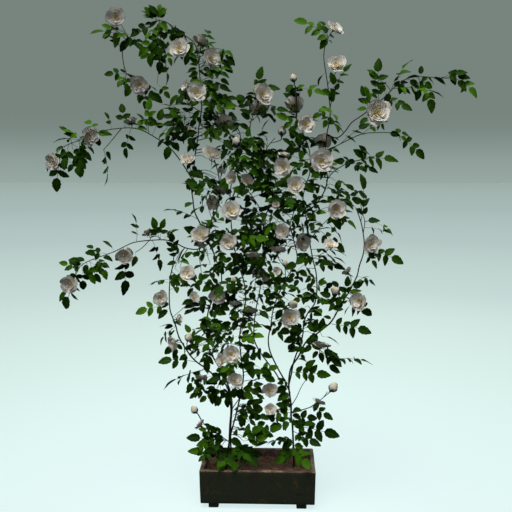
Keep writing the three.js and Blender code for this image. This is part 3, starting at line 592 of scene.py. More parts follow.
# %% Material: pollen yellow
pollen, tree, shader = start_material("pollen_yellow", Roughness=0.8)
place = add_node(tree, "ShaderNodeTexCoord").outputs["Object"]
dust = add_node(tree, "ShaderNodeTexNoise", {"Vector": place, "Scale": 400.0, "Detail": 2.0})
gold = colour_stops(
    add_node(tree, "ShaderNodeValToRGB", {"Fac": dust.outputs["Fac"]}),
    [(0.35, "#d8bd72"), (0.6, "#ecdaa8")],
)
tree.links.new(gold, shader.inputs["Base Color"])
print(pollen.name, len(tree.nodes), "nodes")

# %% [markdown]
# ## The rose in numbers
# Here are the routes of all canes, read off as a gardener would tie them: how thick at the foot and the
# tip, then the points that the cane passes. A bloom or bud is the middle of its rim, its diameter and
# the way it looks. A leaf is the x and z of its foot, the place of its tip, and how it is held: broadside
# to the front, half turned away, or level and seen from its edge, which the table writes as B, A and E.
# All in millimetres from the middle of the trough, with y growing towards the back.

# %% Table of stems
B = (0, -0.8, 0.6)
A = (0.35, -0.55, 0.75)
E = EDGE = (0.35, 0.1, 1)
STEMS = {
    "left_outer_cane": {
        "canes": [
            (3.6, 2.0, [
            (-130, 0, 115), (-130, -5, 225), (-125, -15, 330), (-120, -20, 415), (-140, -30, 520),
            (-180, -40, 555), (-220, -50, 595), (-275, -60, 640), (-310, -65, 690), (-340, -65, 745),
            (-355, -60, 800), (-375, -55, 850), (-380, -50, 910), (-375, -40, 1000), (-365, -35, 1045),
            (-360, -30, 1090),
            ]),
            (1.9, 1.3, [
            (-130, -10, 255), (-205, -40, 320), (-240, -60, 360), (-260, -70, 400),
            ]),
            (1.9, 1.4, [
            (-120, -20, 405), (-85, -50, 460), (-65, -70, 490), (-35, -85, 515),
            ]),
        ],
        "blooms": [
            (-295, -110, 1025, 70, 0, -0.85, 0.4), (-410, -100, 915, 64, 0.1, -1, 0),
            (-265, -90, 920, 50, 0.5, -0.6, 0.6), (-325, -110, 830, 44, 0.9, -0.3, 0.2),
            (-360, -130, 730, 72, -0.78, -0.6, -0.15), (-240, -110, 580, 60, 0, 0.5, 0.85),
            (-250, -110, 370, 54, -0.75, 0.3, 0.55),
        ],
        "buds": [
            (-290, -110, 750, 38, 0.3, -0.5, 0.8), (-275, -80, 425, 38, -0.5, -0.3, 0.8),
        ],
        "leaves": [
        (-270, 635, -430, -80, 640, B), (-350, 785, -430, -20, 695, A), (-380, 875, -525, -80, 850, A),
        (-225, 595, -415, -50, 505, E), (-375, 970, -465, -60, 970, E), (-360, 1085, -365, -100, 1195, B),
        (-140, 255, -315, -60, 290, A), (-130, 205, -305, -20, 210, A), (-380, 940, -280, -100, 975, A),
        (-310, 690, -220, -110, 750, B), (-385, 865, -420, -100, 830, A), (-375, 900, -405, -80, 870, B),
        (-340, 790, -420, -60, 795, E), (-265, 720, -310, -80, 800, B), (-220, 720, -290, -70, 740, A),
        (-220, 710, -315, -70, 690, A), (-225, 685, -300, -60, 660, A), (-350, 735, -360, -90, 655, E),
        (-355, 710, -405, -80, 670, A), (-335, 730, -305, -60, 660, E), (-225, 600, -310, -70, 495, B),
        (-210, 575, -280, -60, 470, B), (-215, 565, -200, -80, 445, B), (-190, 565, -280, -60, 535, A),
        (-155, 545, -220, -60, 545, A), (-155, 535, -185, -60, 430, B), (-145, 515, -130, -60, 425, B),
        (-115, 385, -50, -40, 445, E), (-120, 360, -60, -40, 415, E), (-125, 335, -65, -40, 390, E),
        (-130, 280, -75, -50, 245, B), (-130, 290, -45, -60, 330, A), (-130, 320, -70, -60, 340, E),
        (-145, 245, -270, -80, 270, B), (-185, 235, -300, -125, 260, B), (-200, 245, -250, -150, 220, B),
        (-160, 245, -210, -80, 250, B), (-140, 270, -215, -70, 345, A), (-135, 260, -200, -50, 295, B),
        (-215, 530, -315, -70, 495, B), (-210, 510, -300, -60, 465, A), (-190, 520, -250, -70, 450, B),
        (-180, 510, -205, -60, 445, B), (-155, 485, -175, -60, 430, B), (-200, 685, -230, -60, 610, B),
        (-175, 510, -225, -60, 515, A), (-340, 790, -405, -60, 780, A), (-335, 770, -380, -60, 750, A),
        (-320, 745, -355, -60, 720, A), (-315, 710, -280, -70, 685, B), (-370, 990, -455, -80, 970, E),
        (-375, 1000, -335, -80, 965, B), (-345, 1005, -305, -100, 970, A), (-370, 805, -325, -80, 800, A),
        (-200, 295, -260, -60, 330, A), (-195, 285, -235, -60, 355, A), (-290, 665, -345, -60, 645, B),
        ],
    },
    "left_inner_cane": {
        "canes": [
            (3.4, 2.0, [
            (-120, 15, 110), (-125, 30, 290), (-120, 40, 430), (-145, 50, 515), (-190, 60, 595),
            (-220, 60, 650), (-230, 65, 740), (-225, 65, 825), (-200, 65, 890), (-165, 65, 960),
            (-170, 65, 1020), (-185, 60, 1050), (-200, 60, 1095), (-220, 60, 1135), (-215, 65, 1195),
            (-205, 70, 1235), (-185, 80, 1275), (-170, 80, 1340), (-175, 65, 1430), (-190, 40, 1495),
            ]),
        ],
        "blooms": [
            (-190, -50, 1525, 84, 0.4, -0.6, 0.7), (-155, 10, 1450, 42, 0.2, -0.6, 0.8),
            (-170, 40, 1365, 60, 0, 0.8, 0.6), (-190, -40, 1315, 68, 0.7, -0.7, 0.1),
            (-175, -20, 910, 70, 0.1, -1, 0.12),
        ],
        "buds": [],
        "leaves": [
        (-225, 885, -315, -90, 885, E), (-230, 850, -305, -90, 870, E), (-225, 835, -305, -90, 845, E),
        (-225, 710, -220, -60, 815, B), (-205, 735, -175, -40, 815, B), (-225, 660, -225, -60, 580, B),
        (-205, 730, -120, -50, 785, E), (-220, 690, -110, -50, 720, E), (-200, 880, -90, -90, 885, B),
        (-165, 960, -240, -60, 945, B), (-170, 1005, -245, -60, 990, B), (-165, 950, -220, -60, 910, A),
        (-220, 650, -175, -60, 675, E), (-130, 195, -175, -140, 180, B), (-130, 195, -90, -150, 180, B),
        (-125, 195, 10, -150, 205, A), (-130, 200, -185, -90, 215, B), (-120, 210, -10, -60, 225, B),
        (-120, 200, -40, -110, 215, A), (-135, 180, -225, -125, 250, B), (-110, 215, 20, -40, 200, B),
        (-200, 1205, -140, -60, 1245, B), (-205, 1180, -145, -60, 1165, B), (-200, 1155, -140, -50, 1195, A),
        (-215, 1190, -240, -60, 1235, A), (-190, 1095, -135, -70, 1065, B), (-195, 1050, -150, -80, 1015, B),
        (-215, 835, -140, -60, 835, B), (-220, 780, -140, -60, 770, B), (-225, 740, -150, -60, 720, B),
        (-210, 880, -125, -70, 855, B), (-230, 795, -240, -60, 775, B),
        ],
    },
    "upper_left_cane": {
        "canes": [
            (2.6, 1.6, [
            (-200, 60, 1100), (-255, 30, 1225), (-275, 15, 1275), (-280, 5, 1325), (-285, 0, 1380),
            (-275, -5, 1430), (-270, -10, 1495), (-255, -20, 1575), (-245, -30, 1650), (-235, -35, 1705),
            (-235, -40, 1770), (-240, -40, 1830), (-245, -40, 1895), (-260, -40, 1965), (-280, -40, 1985),
            (-335, -35, 2020), (-380, -30, 2055), (-420, -25, 2060), (-455, -20, 2035), (-485, -20, 2020),
            (-525, -15, 2005), (-555, -15, 1970), (-565, -15, 1940), (-560, -15, 1885), (-550, -20, 1850),
            ]),
            (1.5, 1.2, [
            (-410, -25, 2060), (-400, -50, 1995), (-390, -60, 1930),
            ]),
        ],
        "blooms": [
            (-580, -60, 2070, 82, 0.1, -1, -0.15), (-490, -60, 1800, 82, 0.1, -1, -0.25),
            (-320, -90, 1945, 84, 0, -0.9, 0.25), (-240, 0, 1985, 74, 0.3, 0.45, 0.85),
            (-185, -60, 1910, 90, 0.7, -0.7, 0.2), (-245, -110, 1765, 80, 0.1, -1, 0.12),
            (-300, -70, 1795, 58, -0.8, -0.5, 0.3), (-275, -50, 1620, 54, 0.5, -0.2, 0.8),
            (-290, -90, 1500, 66, 0, -0.75, 0.65), (-245, -60, 1185, 82, -0.1, -0.8, 0.6),
            (-240, -60, 1135, 50, 0, -0.5, -0.85),
        ],
        "buds": [],
        "leaves": [
        (-555, 2005, -695, -40, 2015, B), (-565, 1940, -635, 10, 2015, A), (-435, 2055, -520, -60, 1990, A),
        (-420, 2065, -390, -10, 2125, A), (-435, 2060, -470, -50, 2105, A), (-395, 1930, -375, -75, 1795, E),
        (-400, 2005, -480, -90, 1905, A), (-380, 2050, -310, -20, 1970, A), (-260, 1965, -355, -70, 1885, A),
        (-240, 1805, -380, -50, 1725, B), (-235, 1740, -130, 20, 1720, A), (-255, 1575, -385, 20, 1630, A),
        (-245, 1900, -105, 20, 1885, A), (-565, 2010, -590, -50, 1950, A), (-555, 2000, -565, -40, 1935, A),
        (-525, 2010, -570, -70, 1995, B), (-525, 2000, -470, -60, 1930, B), (-525, 2005, -540, -50, 1955, A),
        (-530, 2010, -485, -60, 2025, E), (-420, 2065, -455, -60, 2115, B), (-410, 2065, -375, -60, 2090, A),
        (-425, 2065, -470, -40, 2080, A), (-415, 2060, -405, 0, 2135, B), (-430, 2060, -465, -40, 2045, A),
        (-420, 2065, -435, -90, 2095, E), (-385, 2060, -290, -20, 1980, E), (-395, 2040, -340, -80, 1970, B),
        (-395, 1985, -350, -90, 1930, B), (-415, 2045, -410, -70, 1890, B), (-410, 2020, -450, -50, 1870, B),
        (-395, 1980, -410, -60, 1840, B), (-410, 2010, -435, -90, 1935, A), (-415, 2030, -460, -80, 1975, A),
        (-410, 2045, -435, -30, 1985, B), (-390, 1940, -350, -60, 1875, B), (-360, 2045, -300, -60, 1940, B),
        (-390, 1940, -485, -60, 1905, B), (-270, 1975, -285, -60, 1910, A), (-250, 1955, -185, -10, 1970, A),
        (-255, 1965, -290, -60, 1965, A), (-250, 1965, -240, -50, 1885, E), (-245, 1875, -280, -60, 1915, A),
        (-225, 1875, -110, -40, 1945, B), (-225, 1870, -145, -70, 1920, B), (-225, 1860, -100, -70, 1855, A),
        (-240, 1855, -295, -60, 1855, E), (-235, 1835, -275, -70, 1815, B), (-230, 1845, -120, -60, 1835, B),
        (-230, 1820, -110, -60, 1775, A), (-230, 1805, -180, -70, 1740, A), (-225, 1795, -150, -50, 1725, A),
        (-235, 1725, -65, -60, 1735, B), (-235, 1715, -85, -80, 1705, B), (-235, 1730, -280, -60, 1720, B),
        (-235, 1705, -175, -60, 1690, A), (-245, 1795, -335, -90, 1715, A), (-240, 1820, -185, -60, 1800, B),
        (-240, 1700, -270, -60, 1655, B), (-240, 1675, -165, -50, 1640, B), (-245, 1640, -285, -50, 1590, B),
        (-250, 1620, -155, -60, 1585, B), (-250, 1600, -310, -40, 1615, A), (-240, 1665, -150, -40, 1690, A),
        (-545, 1840, -580, -60, 1790, A), (-550, 1850, -550, -50, 1875, A), (-550, 1830, -540, -50, 1770, B),
        (-485, 1805, -420, -40, 1790, A), (-485, 1780, -490, -50, 1725, A), (-465, 1775, -405, -60, 1740, B),
        (-280, 1425, -295, -60, 1370, B), (-275, 1460, -235, -60, 1420, A), (-285, 1390, -245, -50, 1345, B),
        (-280, 1315, -300, -60, 1305, E), (-210, 1965, -220, -10, 2045, B), (-255, 1955, -295, -40, 1975, A),
        (-215, 1955, -175, -30, 1980, B), (-270, 1955, -310, -50, 1930, A), (-250, 1890, -255, -60, 1965, E),
        (-245, 1965, -215, -50, 1925, B), (-245, 1900, -285, -60, 1930, A), (-280, 1930, -305, -60, 1880, B),
        (-180, 1940, -115, -80, 1900, B), (-140, 1940, -100, -60, 1910, B), (-135, 1920, -95, -60, 1875, A),
        (-150, 1885, -100, -60, 1850, B), (-195, 1875, -120, -70, 1890, B), (-230, 1820, -210, -80, 1885, B),
        (-240, 1825, -285, -60, 1835, B), (-200, 1860, -115, -80, 1825, B), (-215, 1800, -265, -90, 1815, B),
        (-210, 1805, -160, -60, 1785, B), (-165, 1825, -115, -50, 1805, A), (-155, 1785, -105, -50, 1775, A),
        (-180, 1785, -180, -60, 1730, B), (-160, 1780, -160, -50, 1720, A), (-155, 1765, -115, -50, 1740, B),
        (-65, 1705, -85, -60, 1760, B), (-150, 1740, -90, -80, 1705, B), (-235, 1750, -285, -60, 1720, A),
        (-230, 1750, -195, -60, 1715, B), (-240, 1685, -290, -60, 1630, E), (-240, 1665, -180, -70, 1710, B),
        (-240, 1640, -160, -80, 1680, B), (-235, 1620, -170, -80, 1640, B), (-225, 1600, -140, -90, 1615, B),
        (-225, 1585, -150, -70, 1580, B), (-175, 1630, -125, -60, 1660, B), (-160, 1605, -85, -60, 1630, B),
        (-150, 1580, -100, -80, 1540, B), (-115, 1550, -155, -60, 1495, B), (-100, 1500, -75, -60, 1545, A),
        (-215, 1500, -180, -90, 1470, B), (-135, 1495, -80, -60, 1470, B), (-310, 1500, -255, -90, 1440, B),
        (-305, 1445, -245, -60, 1420, B), (-275, 1420, -295, -60, 1375, B), (-175, 1420, -255, -90, 1375, B),
        (-190, 1420, -180, -80, 1350, B), (-160, 1425, -130, -60, 1365, B), (-340, 1610, -420, -60, 1545, B),
        (-280, 1625, -390, -90, 1640, B), (-370, 1715, -315, -90, 1645, B), (-330, 1690, -275, -60, 1595, A),
        (-300, 1595, -255, -60, 1535, A), (-345, 1575, -330, -60, 1530, B), (-520, 1810, -565, 0, 1755, B),
        (-450, 1775, -400, -50, 1725, B), (-490, 1805, -435, -60, 1755, B), (-415, 1805, -360, -60, 1745, B),
        (-370, 2045, -295, -120, 1945, B), (-410, 2065, -465, -60, 2085, A), (-410, 2070, -440, -60, 2120, A),
        (-410, 2055, -450, -50, 2035, A), (-405, 2070, -380, -40, 2110, A), (-525, 1985, -480, -60, 1940, B),
        (-560, 2025, -630, -60, 2045, B), (-600, 2030, -630, -50, 1985, A), (-585, 2025, -575, -60, 1965, A),
        (-545, 1845, -570, -40, 1865, B), (-550, 1825, -580, -50, 1800, B), (-235, 1860, -280, -70, 1835, B),
        (-230, 1835, -275, -70, 1810, B), (-225, 1875, -280, -60, 1890, B), (-215, 1875, -160, -60, 1935, B),
        (-600, 2025, -645, -40, 2045, B), (-565, 2020, -605, -50, 2035, B), (-270, 1240, -405, -30, 1285, E),
        (-565, 1840, -640, -40, 1845, B), (-255, 1805, -335, -90, 1775, A), (-240, 1690, -90, -50, 1670, B),
        (-255, 1575, -295, -60, 1530, B), (-480, 1780, -465, -50, 1700, B), (-240, 1870, -290, -70, 1855, B),
        (-295, 1800, -330, -80, 1755, B), (-405, 2070, -375, -60, 2015, B), (-410, 2065, -395, -50, 2005, B),
        ],
    },
    "left_arc_upper": {
        "canes": [
            (2.2, 1.4, [
            (-280, 0, 1410), (-330, -30, 1495), (-375, -50, 1550), (-425, -60, 1585), (-480, -60, 1615),
            (-525, -60, 1625), (-555, -55, 1625), (-610, -50, 1620), (-660, -45, 1610), (-735, -40, 1580),
            (-795, -35, 1560), (-825, -35, 1545),
            ]),
            (1.5, 1.2, [
            (-565, -55, 1625), (-605, -70, 1575), (-640, -75, 1535),
            ]),
        ],
        "blooms": [
            (-535, -30, 1655, 58, -0.3, 0.35, 0.85), (-690, -80, 1590, 78, 0.7, -0.7, -0.15),
            (-860, -70, 1485, 76, -0.4, -0.9, -0.1),
        ],
        "buds": [],
        "leaves": [
        (-640, 1535, -635, -80, 1385, E), (-465, 1610, -445, -40, 1685, A), (-555, 1625, -570, -30, 1730, A),
        (-735, 1580, -815, -60, 1620, A), (-750, 1575, -745, -60, 1420, B), (-825, 1545, -860, -30, 1355, B),
        (-820, 1550, -915, 20, 1445, A), (-525, 1625, -555, -30, 1495, B), (-660, 1610, -740, 10, 1660, A),
        (-610, 1620, -630, -80, 1690, A), (-750, 1575, -860, -50, 1570, E), (-765, 1570, -680, -60, 1520, A),
        (-775, 1550, -700, -40, 1490, B), (-775, 1540, -715, -80, 1455, B), (-805, 1500, -740, -60, 1420, A),
        (-790, 1560, -805, -90, 1450, A), (-810, 1550, -835, -60, 1500, B), (-680, 1595, -610, -50, 1600, A),
        (-665, 1605, -675, -60, 1545, B), (-515, 1625, -455, -60, 1665, A), (-505, 1625, -455, -80, 1625, A),
        (-450, 1600, -440, -60, 1750, B), (-440, 1590, -395, -50, 1705, A), (-455, 1600, -505, -40, 1690, A),
        (-315, 1630, -390, -80, 1495, B), (-375, 1625, -430, -60, 1650, A), (-310, 1640, -255, -100, 1535, B),
        (-300, 1680, -395, -60, 1705, E), (-280, 1655, -365, -110, 1665, B), (-340, 1615, -415, -60, 1585, A),
        (-325, 1600, -305, -60, 1560, A), (-790, 1595, -825, -50, 1640, A), (-755, 1575, -710, -50, 1600, A),
        (-810, 1570, -850, -60, 1535, A), (-715, 1585, -745, -60, 1545, B), (-555, 1625, -520, -60, 1675, A),
        (-640, 1540, -610, -50, 1495, A), (-305, 1630, -360, -100, 1695, B), (-750, 1585, -805, -60, 1615, B),
        (-305, 1655, -390, -110, 1670, B),
        ],
    },
    "left_arc_lower": {
        "canes": [
            (2.2, 1.4, [
            (-215, 60, 1135), (-265, 20, 1110), (-315, -10, 1120), (-350, -25, 1140), (-390, -35, 1155),
            (-450, -40, 1155), (-530, -45, 1145), (-575, -45, 1125), (-615, -40, 1105), (-685, -40, 1080),
            (-735, -40, 1060), (-765, -40, 1040),
            ]),
            (1.5, 1.2, [
            (-460, -40, 1155), (-490, -55, 1125), (-520, -60, 1105),
            ]),
        ],
        "blooms": [
            (-475, -30, 1190, 46, -0.5, 0.4, 0.75), (-810, -60, 965, 82, -0.1, -1, -0.1),
            (-560, -80, 1090, 76, 0.1, -1, -0.3),
        ],
        "buds": [],
        "leaves": [
        (-765, 1045, -850, -60, 1060, B), (-755, 1050, -760, -10, 930, B), (-675, 1080, -745, 0, 1130, A),
        (-575, 1125, -575, -60, 915, A), (-450, 1155, -415, -70, 1025, A), (-520, 1145, -535, -20, 1270, E),
        (-415, 1155, -445, -70, 1255, B), (-775, 1040, -845, 10, 835, B), (-685, 1080, -645, -60, 985, B),
        (-615, 1105, -645, -80, 1160, A), (-745, 1050, -825, -70, 1030, B), (-640, 1090, -745, -30, 1100, A),
        (-675, 1080, -615, -60, 1075, A), (-710, 1065, -630, -60, 1040, A), (-720, 1050, -645, -60, 1005, B),
        (-730, 1045, -690, -80, 970, B), (-720, 1060, -675, -50, 970, B), (-735, 1065, -785, -60, 1070, A),
        (-730, 1055, -735, -60, 1010, A), (-525, 1105, -525, -60, 1040, A), (-425, 1155, -445, -70, 1245, B),
        (-415, 1155, -395, -60, 1250, B), (-410, 1155, -335, -60, 1205, A), (-415, 1155, -470, -60, 1170, A),
        (-340, 1070, -365, -80, 1150, B), (-340, 1055, -275, -80, 1110, B), (-340, 1065, -285, -90, 1070, A),
        (-340, 1060, -385, -60, 1055, B), (-365, 1035, -355, -80, 955, B), (-355, 1035, -295, -80, 960, A),
        (-335, 1035, -260, -70, 980, B), (-215, 1085, -280, -60, 1100, A), (-205, 1050, -270, -80, 1040, E),
        (-240, 985, -300, -80, 920, E), (-740, 1055, -795, -60, 1045, A), (-685, 1075, -730, -60, 1115, A),
        (-745, 1050, -810, -50, 1080, B), (-730, 1060, -775, -50, 1085, B), (-810, 940, -870, -40, 895, B),
        ],
    },
    "left_front_cane": {
        "canes": [
            (3.2, 1.8, [
            (-145, -25, 130), (-125, -50, 275), (-95, -75, 400), (-75, -90, 490), (-60, -105, 585),
            (-70, -110, 670), (-75, -110, 760), (-60, -105, 845), (-50, -95, 920), (-60, -90, 995),
            (-85, -90, 1070), (-100, -85, 1145), (-110, -80, 1220), (-115, -65, 1300), (-115, -50, 1375),
            (-95, -35, 1450), (-75, -25, 1525), (-75, -15, 1595), (-95, -5, 1645),
            ]),
        ],
        "blooms": [
            (-145, 30, 1655, 72, -0.2, 0.8, 0.5), (-110, -100, 1420, 54, -0.4, -0.8, -0.05),
            (-105, -140, 1290, 82, 0, -0.9, 0.3), (-120, -150, 1160, 72, 0, -1, 0.1),
            (-95, -40, 880, 60, 0, 0.7, 0.7), (-105, -180, 695, 78, 0.1, -1, 0.12),
            (-155, -130, 660, 58, -0.6, -0.7, 0.3), (-90, -150, 580, 70, 0.5, -0.7, 0.5),
            (-15, -150, 1110, 74, 0, 0.4, 0.9),
        ],
        "buds": [
            (-90, -60, 1570, 38, -0.2, -0.5, 0.9), (-100, -120, 1000, 30, 0, -0.6, 0.8),
        ],
        "leaves": [
        (-95, 1645, -220, -60, 1665, B), (-145, 165, -165, -150, 200, B), (-130, 250, -25, -130, 210, A),
        (-95, 455, 25, -100, 440, B), (-85, 435, -45, -110, 400, B), (-95, 470, -30, -60, 485, A),
        (-75, 405, -55, -100, 360, B), (0, 455, -30, -90, 385, B), (-40, 385, 60, -110, 315, B),
        (-60, 365, -25, -110, 285, B), (20, 385, 0, -100, 290, A), (-60, 585, 20, -110, 605, B),
        (-60, 610, 0, -110, 690, B), (-65, 670, -30, -120, 590, B), (-70, 700, -5, -100, 715, A),
        (-75, 725, 20, -100, 765, B), (-70, 760, -15, -110, 835, B), (-60, 785, 20, -100, 800, B),
        (-70, 690, -55, -90, 760, B), (-75, 545, -135, -120, 605, B), (-85, 525, -30, -100, 530, A),
        (-90, 515, -15, -120, 490, B), (-145, 165, -165, -150, 195, B), (-85, 415, 20, -120, 480, B),
        (-75, 395, 0, -110, 430, A), (-60, 365, 25, -100, 410, B), (-65, 415, -65, -90, 345, B),
        (-75, 305, 25, -130, 370, B), (-15, 305, 100, -120, 365, B), (-35, 290, 55, -120, 345, B),
        (-60, 290, 45, -130, 325, B), (-65, 510, 25, -90, 575, E), (-65, 480, 15, -90, 525, A),
        (-95, 470, -25, -90, 545, A), (-50, 590, -45, -140, 700, B), (-75, 600, 25, -140, 615, B),
        (-5, 605, 90, -120, 630, B), (20, 595, 75, -110, 555, B), (-75, 645, -180, -90, 595, B),
        (-85, 630, -155, -80, 570, B), (-110, 535, -160, -90, 475, B), (-115, 525, -130, -80, 455, B),
        (-90, 545, -110, -90, 475, B), (-75, 540, -85, -90, 470, B), (20, 545, -15, -80, 490, B),
        (25, 490, -5, -80, 445, A), (-50, 510, 25, -100, 550, B), (-30, 475, 40, -110, 500, B),
        (-40, 430, 50, -120, 400, B), (0, 630, 60, -130, 590, B), (-125, 1495, -60, -60, 1445, B),
        (-95, 1535, -125, -60, 1470, B), (-75, 1500, -35, -50, 1470, B), (-110, 1385, -60, -70, 1345, B),
        (-115, 1470, -70, -60, 1395, A), (-90, 1310, -135, -60, 1225, A), (-85, 1200, -50, -60, 1140, B),
        (-90, 1665, -130, -60, 1630, B), (-70, 1070, -140, -70, 1040, B), (-70, 950, -145, -80, 920, B),
        (-70, 925, -125, -60, 960, A), (-60, 975, -25, -60, 905, B), (-110, 540, -200, -70, 585, B),
        (-75, 1175, -125, -60, 1115, B), (-75, 800, -145, -80, 775, B), (-70, 760, -140, -80, 725, B),
        (-75, 835, -125, -70, 850, B),
        ],
    },
    "right_outer_cane": {
        "canes": [
            (4.0, 1.9, [
            (160, 0, 120), (155, -5, 260), (150, -10, 345), (145, -10, 375), (145, -10, 420), (140, -10, 460),
            (135, -10, 500), (135, -10, 550), (145, -20, 600), (175, -30, 650), (205, -40, 715),
            (240, -45, 745), (275, -50, 775), (305, -50, 800), (325, -55, 830), (340, -55, 860),
            (365, -50, 905), (385, -50, 935), (400, -45, 965), (420, -40, 1005), (430, -35, 1050),
            (445, -30, 1095), (450, -20, 1145), (445, -20, 1185), (435, -10, 1235), (415, -5, 1290),
            ]),
            (1.6, 1.3, [
            (445, -20, 1185), (450, -25, 1235), (435, -30, 1285), (430, -30, 1325),
            ]),
            (2.0, 1.3, [
            (145, -10, 385), (190, -30, 410), (230, -45, 430), (250, -55, 450), (280, -60, 475),
            (300, -65, 505),
            ]),
            (1.6, 1.2, [
            (145, -10, 425), (170, -25, 470), (190, -35, 520), (215, -45, 560),
            ]),
            (1.5, 1.2, [
            (220, -45, 720), (275, -40, 675), (330, -35, 640),
            ]),
        ],
        "blooms": [
            (55, -110, 440, 52, 0.1, -1, 0.45), (265, -100, 725, 84, 0.1, 0.4, 0.9),
            (265, -100, 475, 60, 0.5, 0.35, 0.75), (480, -60, 1145, 80, 0.4, -0.9, 0.1),
            (370, -90, 1035, 50, -0.5, 0.45, 0.7), (420, -90, 905, 84, -0.65, -0.75, 0.1),
        ],
        "buds": [
            (325, -75, 530, 48, 0.5, -0.3, 0.8), (325, -80, 950, 40, -0.5, -0.5, 0.7),
        ],
        "leaves": [
        (450, 1215, 570, -30, 1180, A), (445, 1120, 620, -40, 1065, B), (420, 1005, 505, -20, 960, A),
        (380, 935, 485, -30, 825, B), (310, 800, 485, -80, 775, B), (330, 640, 500, -20, 615, E),
        (220, 720, 355, -90, 645, A), (150, 335, 360, -40, 295, B), (155, 235, 230, -165, 200, B),
        (155, 265, -10, -80, 260, E), (230, 430, 325, -80, 385, A), (345, 875, 255, -100, 910, A),
        (155, 215, 70, -100, 195, A), (145, 365, 265, 20, 360, A), (440, 1235, 430, -35, 1440, A),
        (425, 1290, 350, -60, 1330, B), (445, 1125, 515, -60, 1080, B), (400, 970, 470, -60, 1010, E),
        (410, 990, 365, -70, 1020, E), (390, 955, 450, -60, 985, B), (380, 930, 435, -60, 955, A),
        (380, 920, 365, -70, 975, E), (365, 905, 260, -70, 935, B), (370, 910, 315, -60, 980, B),
        (350, 870, 370, -80, 945, B), (360, 905, 380, -60, 1010, A), (400, 885, 360, -60, 845, E),
        (400, 895, 405, -60, 830, A), (400, 890, 460, -70, 835, A), (255, 735, 255, -60, 820, B),
        (275, 755, 285, -60, 825, A), (325, 825, 350, -70, 925, B), (320, 825, 280, -60, 835, A),
        (205, 705, 190, -70, 670, B), (180, 695, 130, -60, 680, A), (165, 645, 210, -60, 645, A),
        (275, 675, 360, -90, 625, B), (145, 570, 315, -60, 575, B), (295, 625, 350, -60, 590, A),
        (135, 410, 30, -100, 390, B), (140, 380, 60, -90, 335, B), (135, 395, 110, -100, 345, A),
        (135, 485, 100, -60, 470, A), (135, 455, 95, -60, 435, B), (150, 235, 80, -110, 200, B),
        (155, 265, 100, -60, 285, B), (155, 245, 200, -50, 245, A), (165, 310, 270, -90, 265, B),
        (160, 320, 250, -60, 360, B), (160, 310, 210, -60, 270, B), (155, 280, 105, -60, 250, A),
        (140, 385, 185, -60, 430, A), (155, 355, 185, -60, 340, A), (135, 510, 85, -60, 560, A),
        (275, 465, 240, -80, 420, B), (190, 710, 170, -60, 675, A), (165, 670, 205, -60, 645, A),
        (250, 720, 195, -70, 685, B), (275, 745, 350, -60, 725, E), (270, 680, 275, -70, 635, B),
        (265, 680, 230, -60, 655, B), (275, 680, 330, -60, 670, A), (295, 655, 360, -70, 635, B),
        (250, 755, 280, -60, 820, A), (200, 595, 240, -60, 650, B), (300, 615, 355, -60, 585, A),
        (95, 340, 45, -110, 415, B), (145, 540, 85, -70, 540, A), (145, 515, 80, -60, 495, A),
        (145, 490, 90, -60, 460, A), (145, 455, 100, -60, 405, B), (145, 410, 80, -80, 455, A),
        (445, 1105, 505, -50, 1040, B), (150, 320, 190, -60, 375, B), (155, 235, 80, -70, 295, A),
        (425, 1320, 370, -35, 1395, B), (445, 1235, 515, -35, 1240, A), (500, 1230, 570, -35, 1180, A),
        (230, 720, 260, -60, 685, B), (205, 705, 250, -60, 745, B), (375, 895, 330, -70, 860, B),
        (145, 395, 185, -60, 375, B), (255, 755, 210, -70, 730, B), (310, 800, 270, -60, 780, B),
        (365, 885, 320, -60, 910, B), (435, 1295, 400, -30, 1345, B), (435, 1285, 460, -30, 1340, B),
        ],
    },
    "right_centre_cane": {
        "canes": [
            (3.0, 1.7, [
            (135, -10, 520), (145, 5, 560), (155, 20, 610), (180, 35, 680), (195, 45, 725), (200, 50, 785),
            (220, 50, 830), (245, 50, 865), (255, 45, 915), (255, 40, 955), (250, 35, 1010), (235, 30, 1070),
            (220, 20, 1150), (205, 10, 1245), (190, 5, 1325), (200, -5, 1385), (215, -10, 1430),
            (220, -10, 1485), (210, -5, 1550), (185, 0, 1605), (160, 5, 1660),
            ]),
            (1.6, 1.3, [
            (220, 20, 1150), (255, -5, 1200), (285, -25, 1235), (315, -40, 1265),
            ]),
        ],
        "blooms": [
            (330, -80, 1290, 82, 0.25, -0.95, -0.05), (305, -105, 1150, 70, 0.35, -0.5, 0.75),
            (190, -50, 1150, 84, 0.6, -0.75, 0), (150, 30, 1730, 88, 0.1, 0.7, 0.65),
            (200, -70, 1640, 78, 0.4, -0.9, 0.15),
        ],
        "buds": [(145, -20, 1830, 34, -0.2, -0.3, 0.9)],
        "leaves": [
        (315, 1265, 415, -60, 1210, A), (255, 1200, 370, 0, 1095, B), (240, 1040, 375, -20, 1035, B),
        (205, 1385, 390, 30, 1340, E), (185, 1600, 75, -50, 1690, B), (175, 1625, 275, 40, 1690, A),
        (160, 1660, 110, -60, 1810, A), (255, 955, 360, 20, 915, A), (175, 1785, 275, -70, 1760, A),
        (155, 1795, 160, -80, 1750, B), (150, 1805, 110, -60, 1775, A), (160, 1780, 185, -60, 1800, B),
        (165, 1650, 125, -60, 1690, E), (165, 1650, 200, -40, 1675, A), (200, 1535, 130, -50, 1615, B),
        (210, 1525, 170, -60, 1605, B), (200, 1510, 115, -60, 1565, A), (210, 1495, 160, -60, 1460, B),
        (210, 1470, 245, -90, 1445, B), (205, 1395, 240, -60, 1375, B), (200, 1365, 135, -60, 1345, B),
        (195, 1340, 165, -60, 1280, B), (190, 1305, 250, -60, 1305, A), (205, 1265, 285, -50, 1275, B),
        (210, 1220, 275, -60, 1220, B), (250, 945, 290, -60, 980, B), (230, 980, 180, -60, 1015, B),
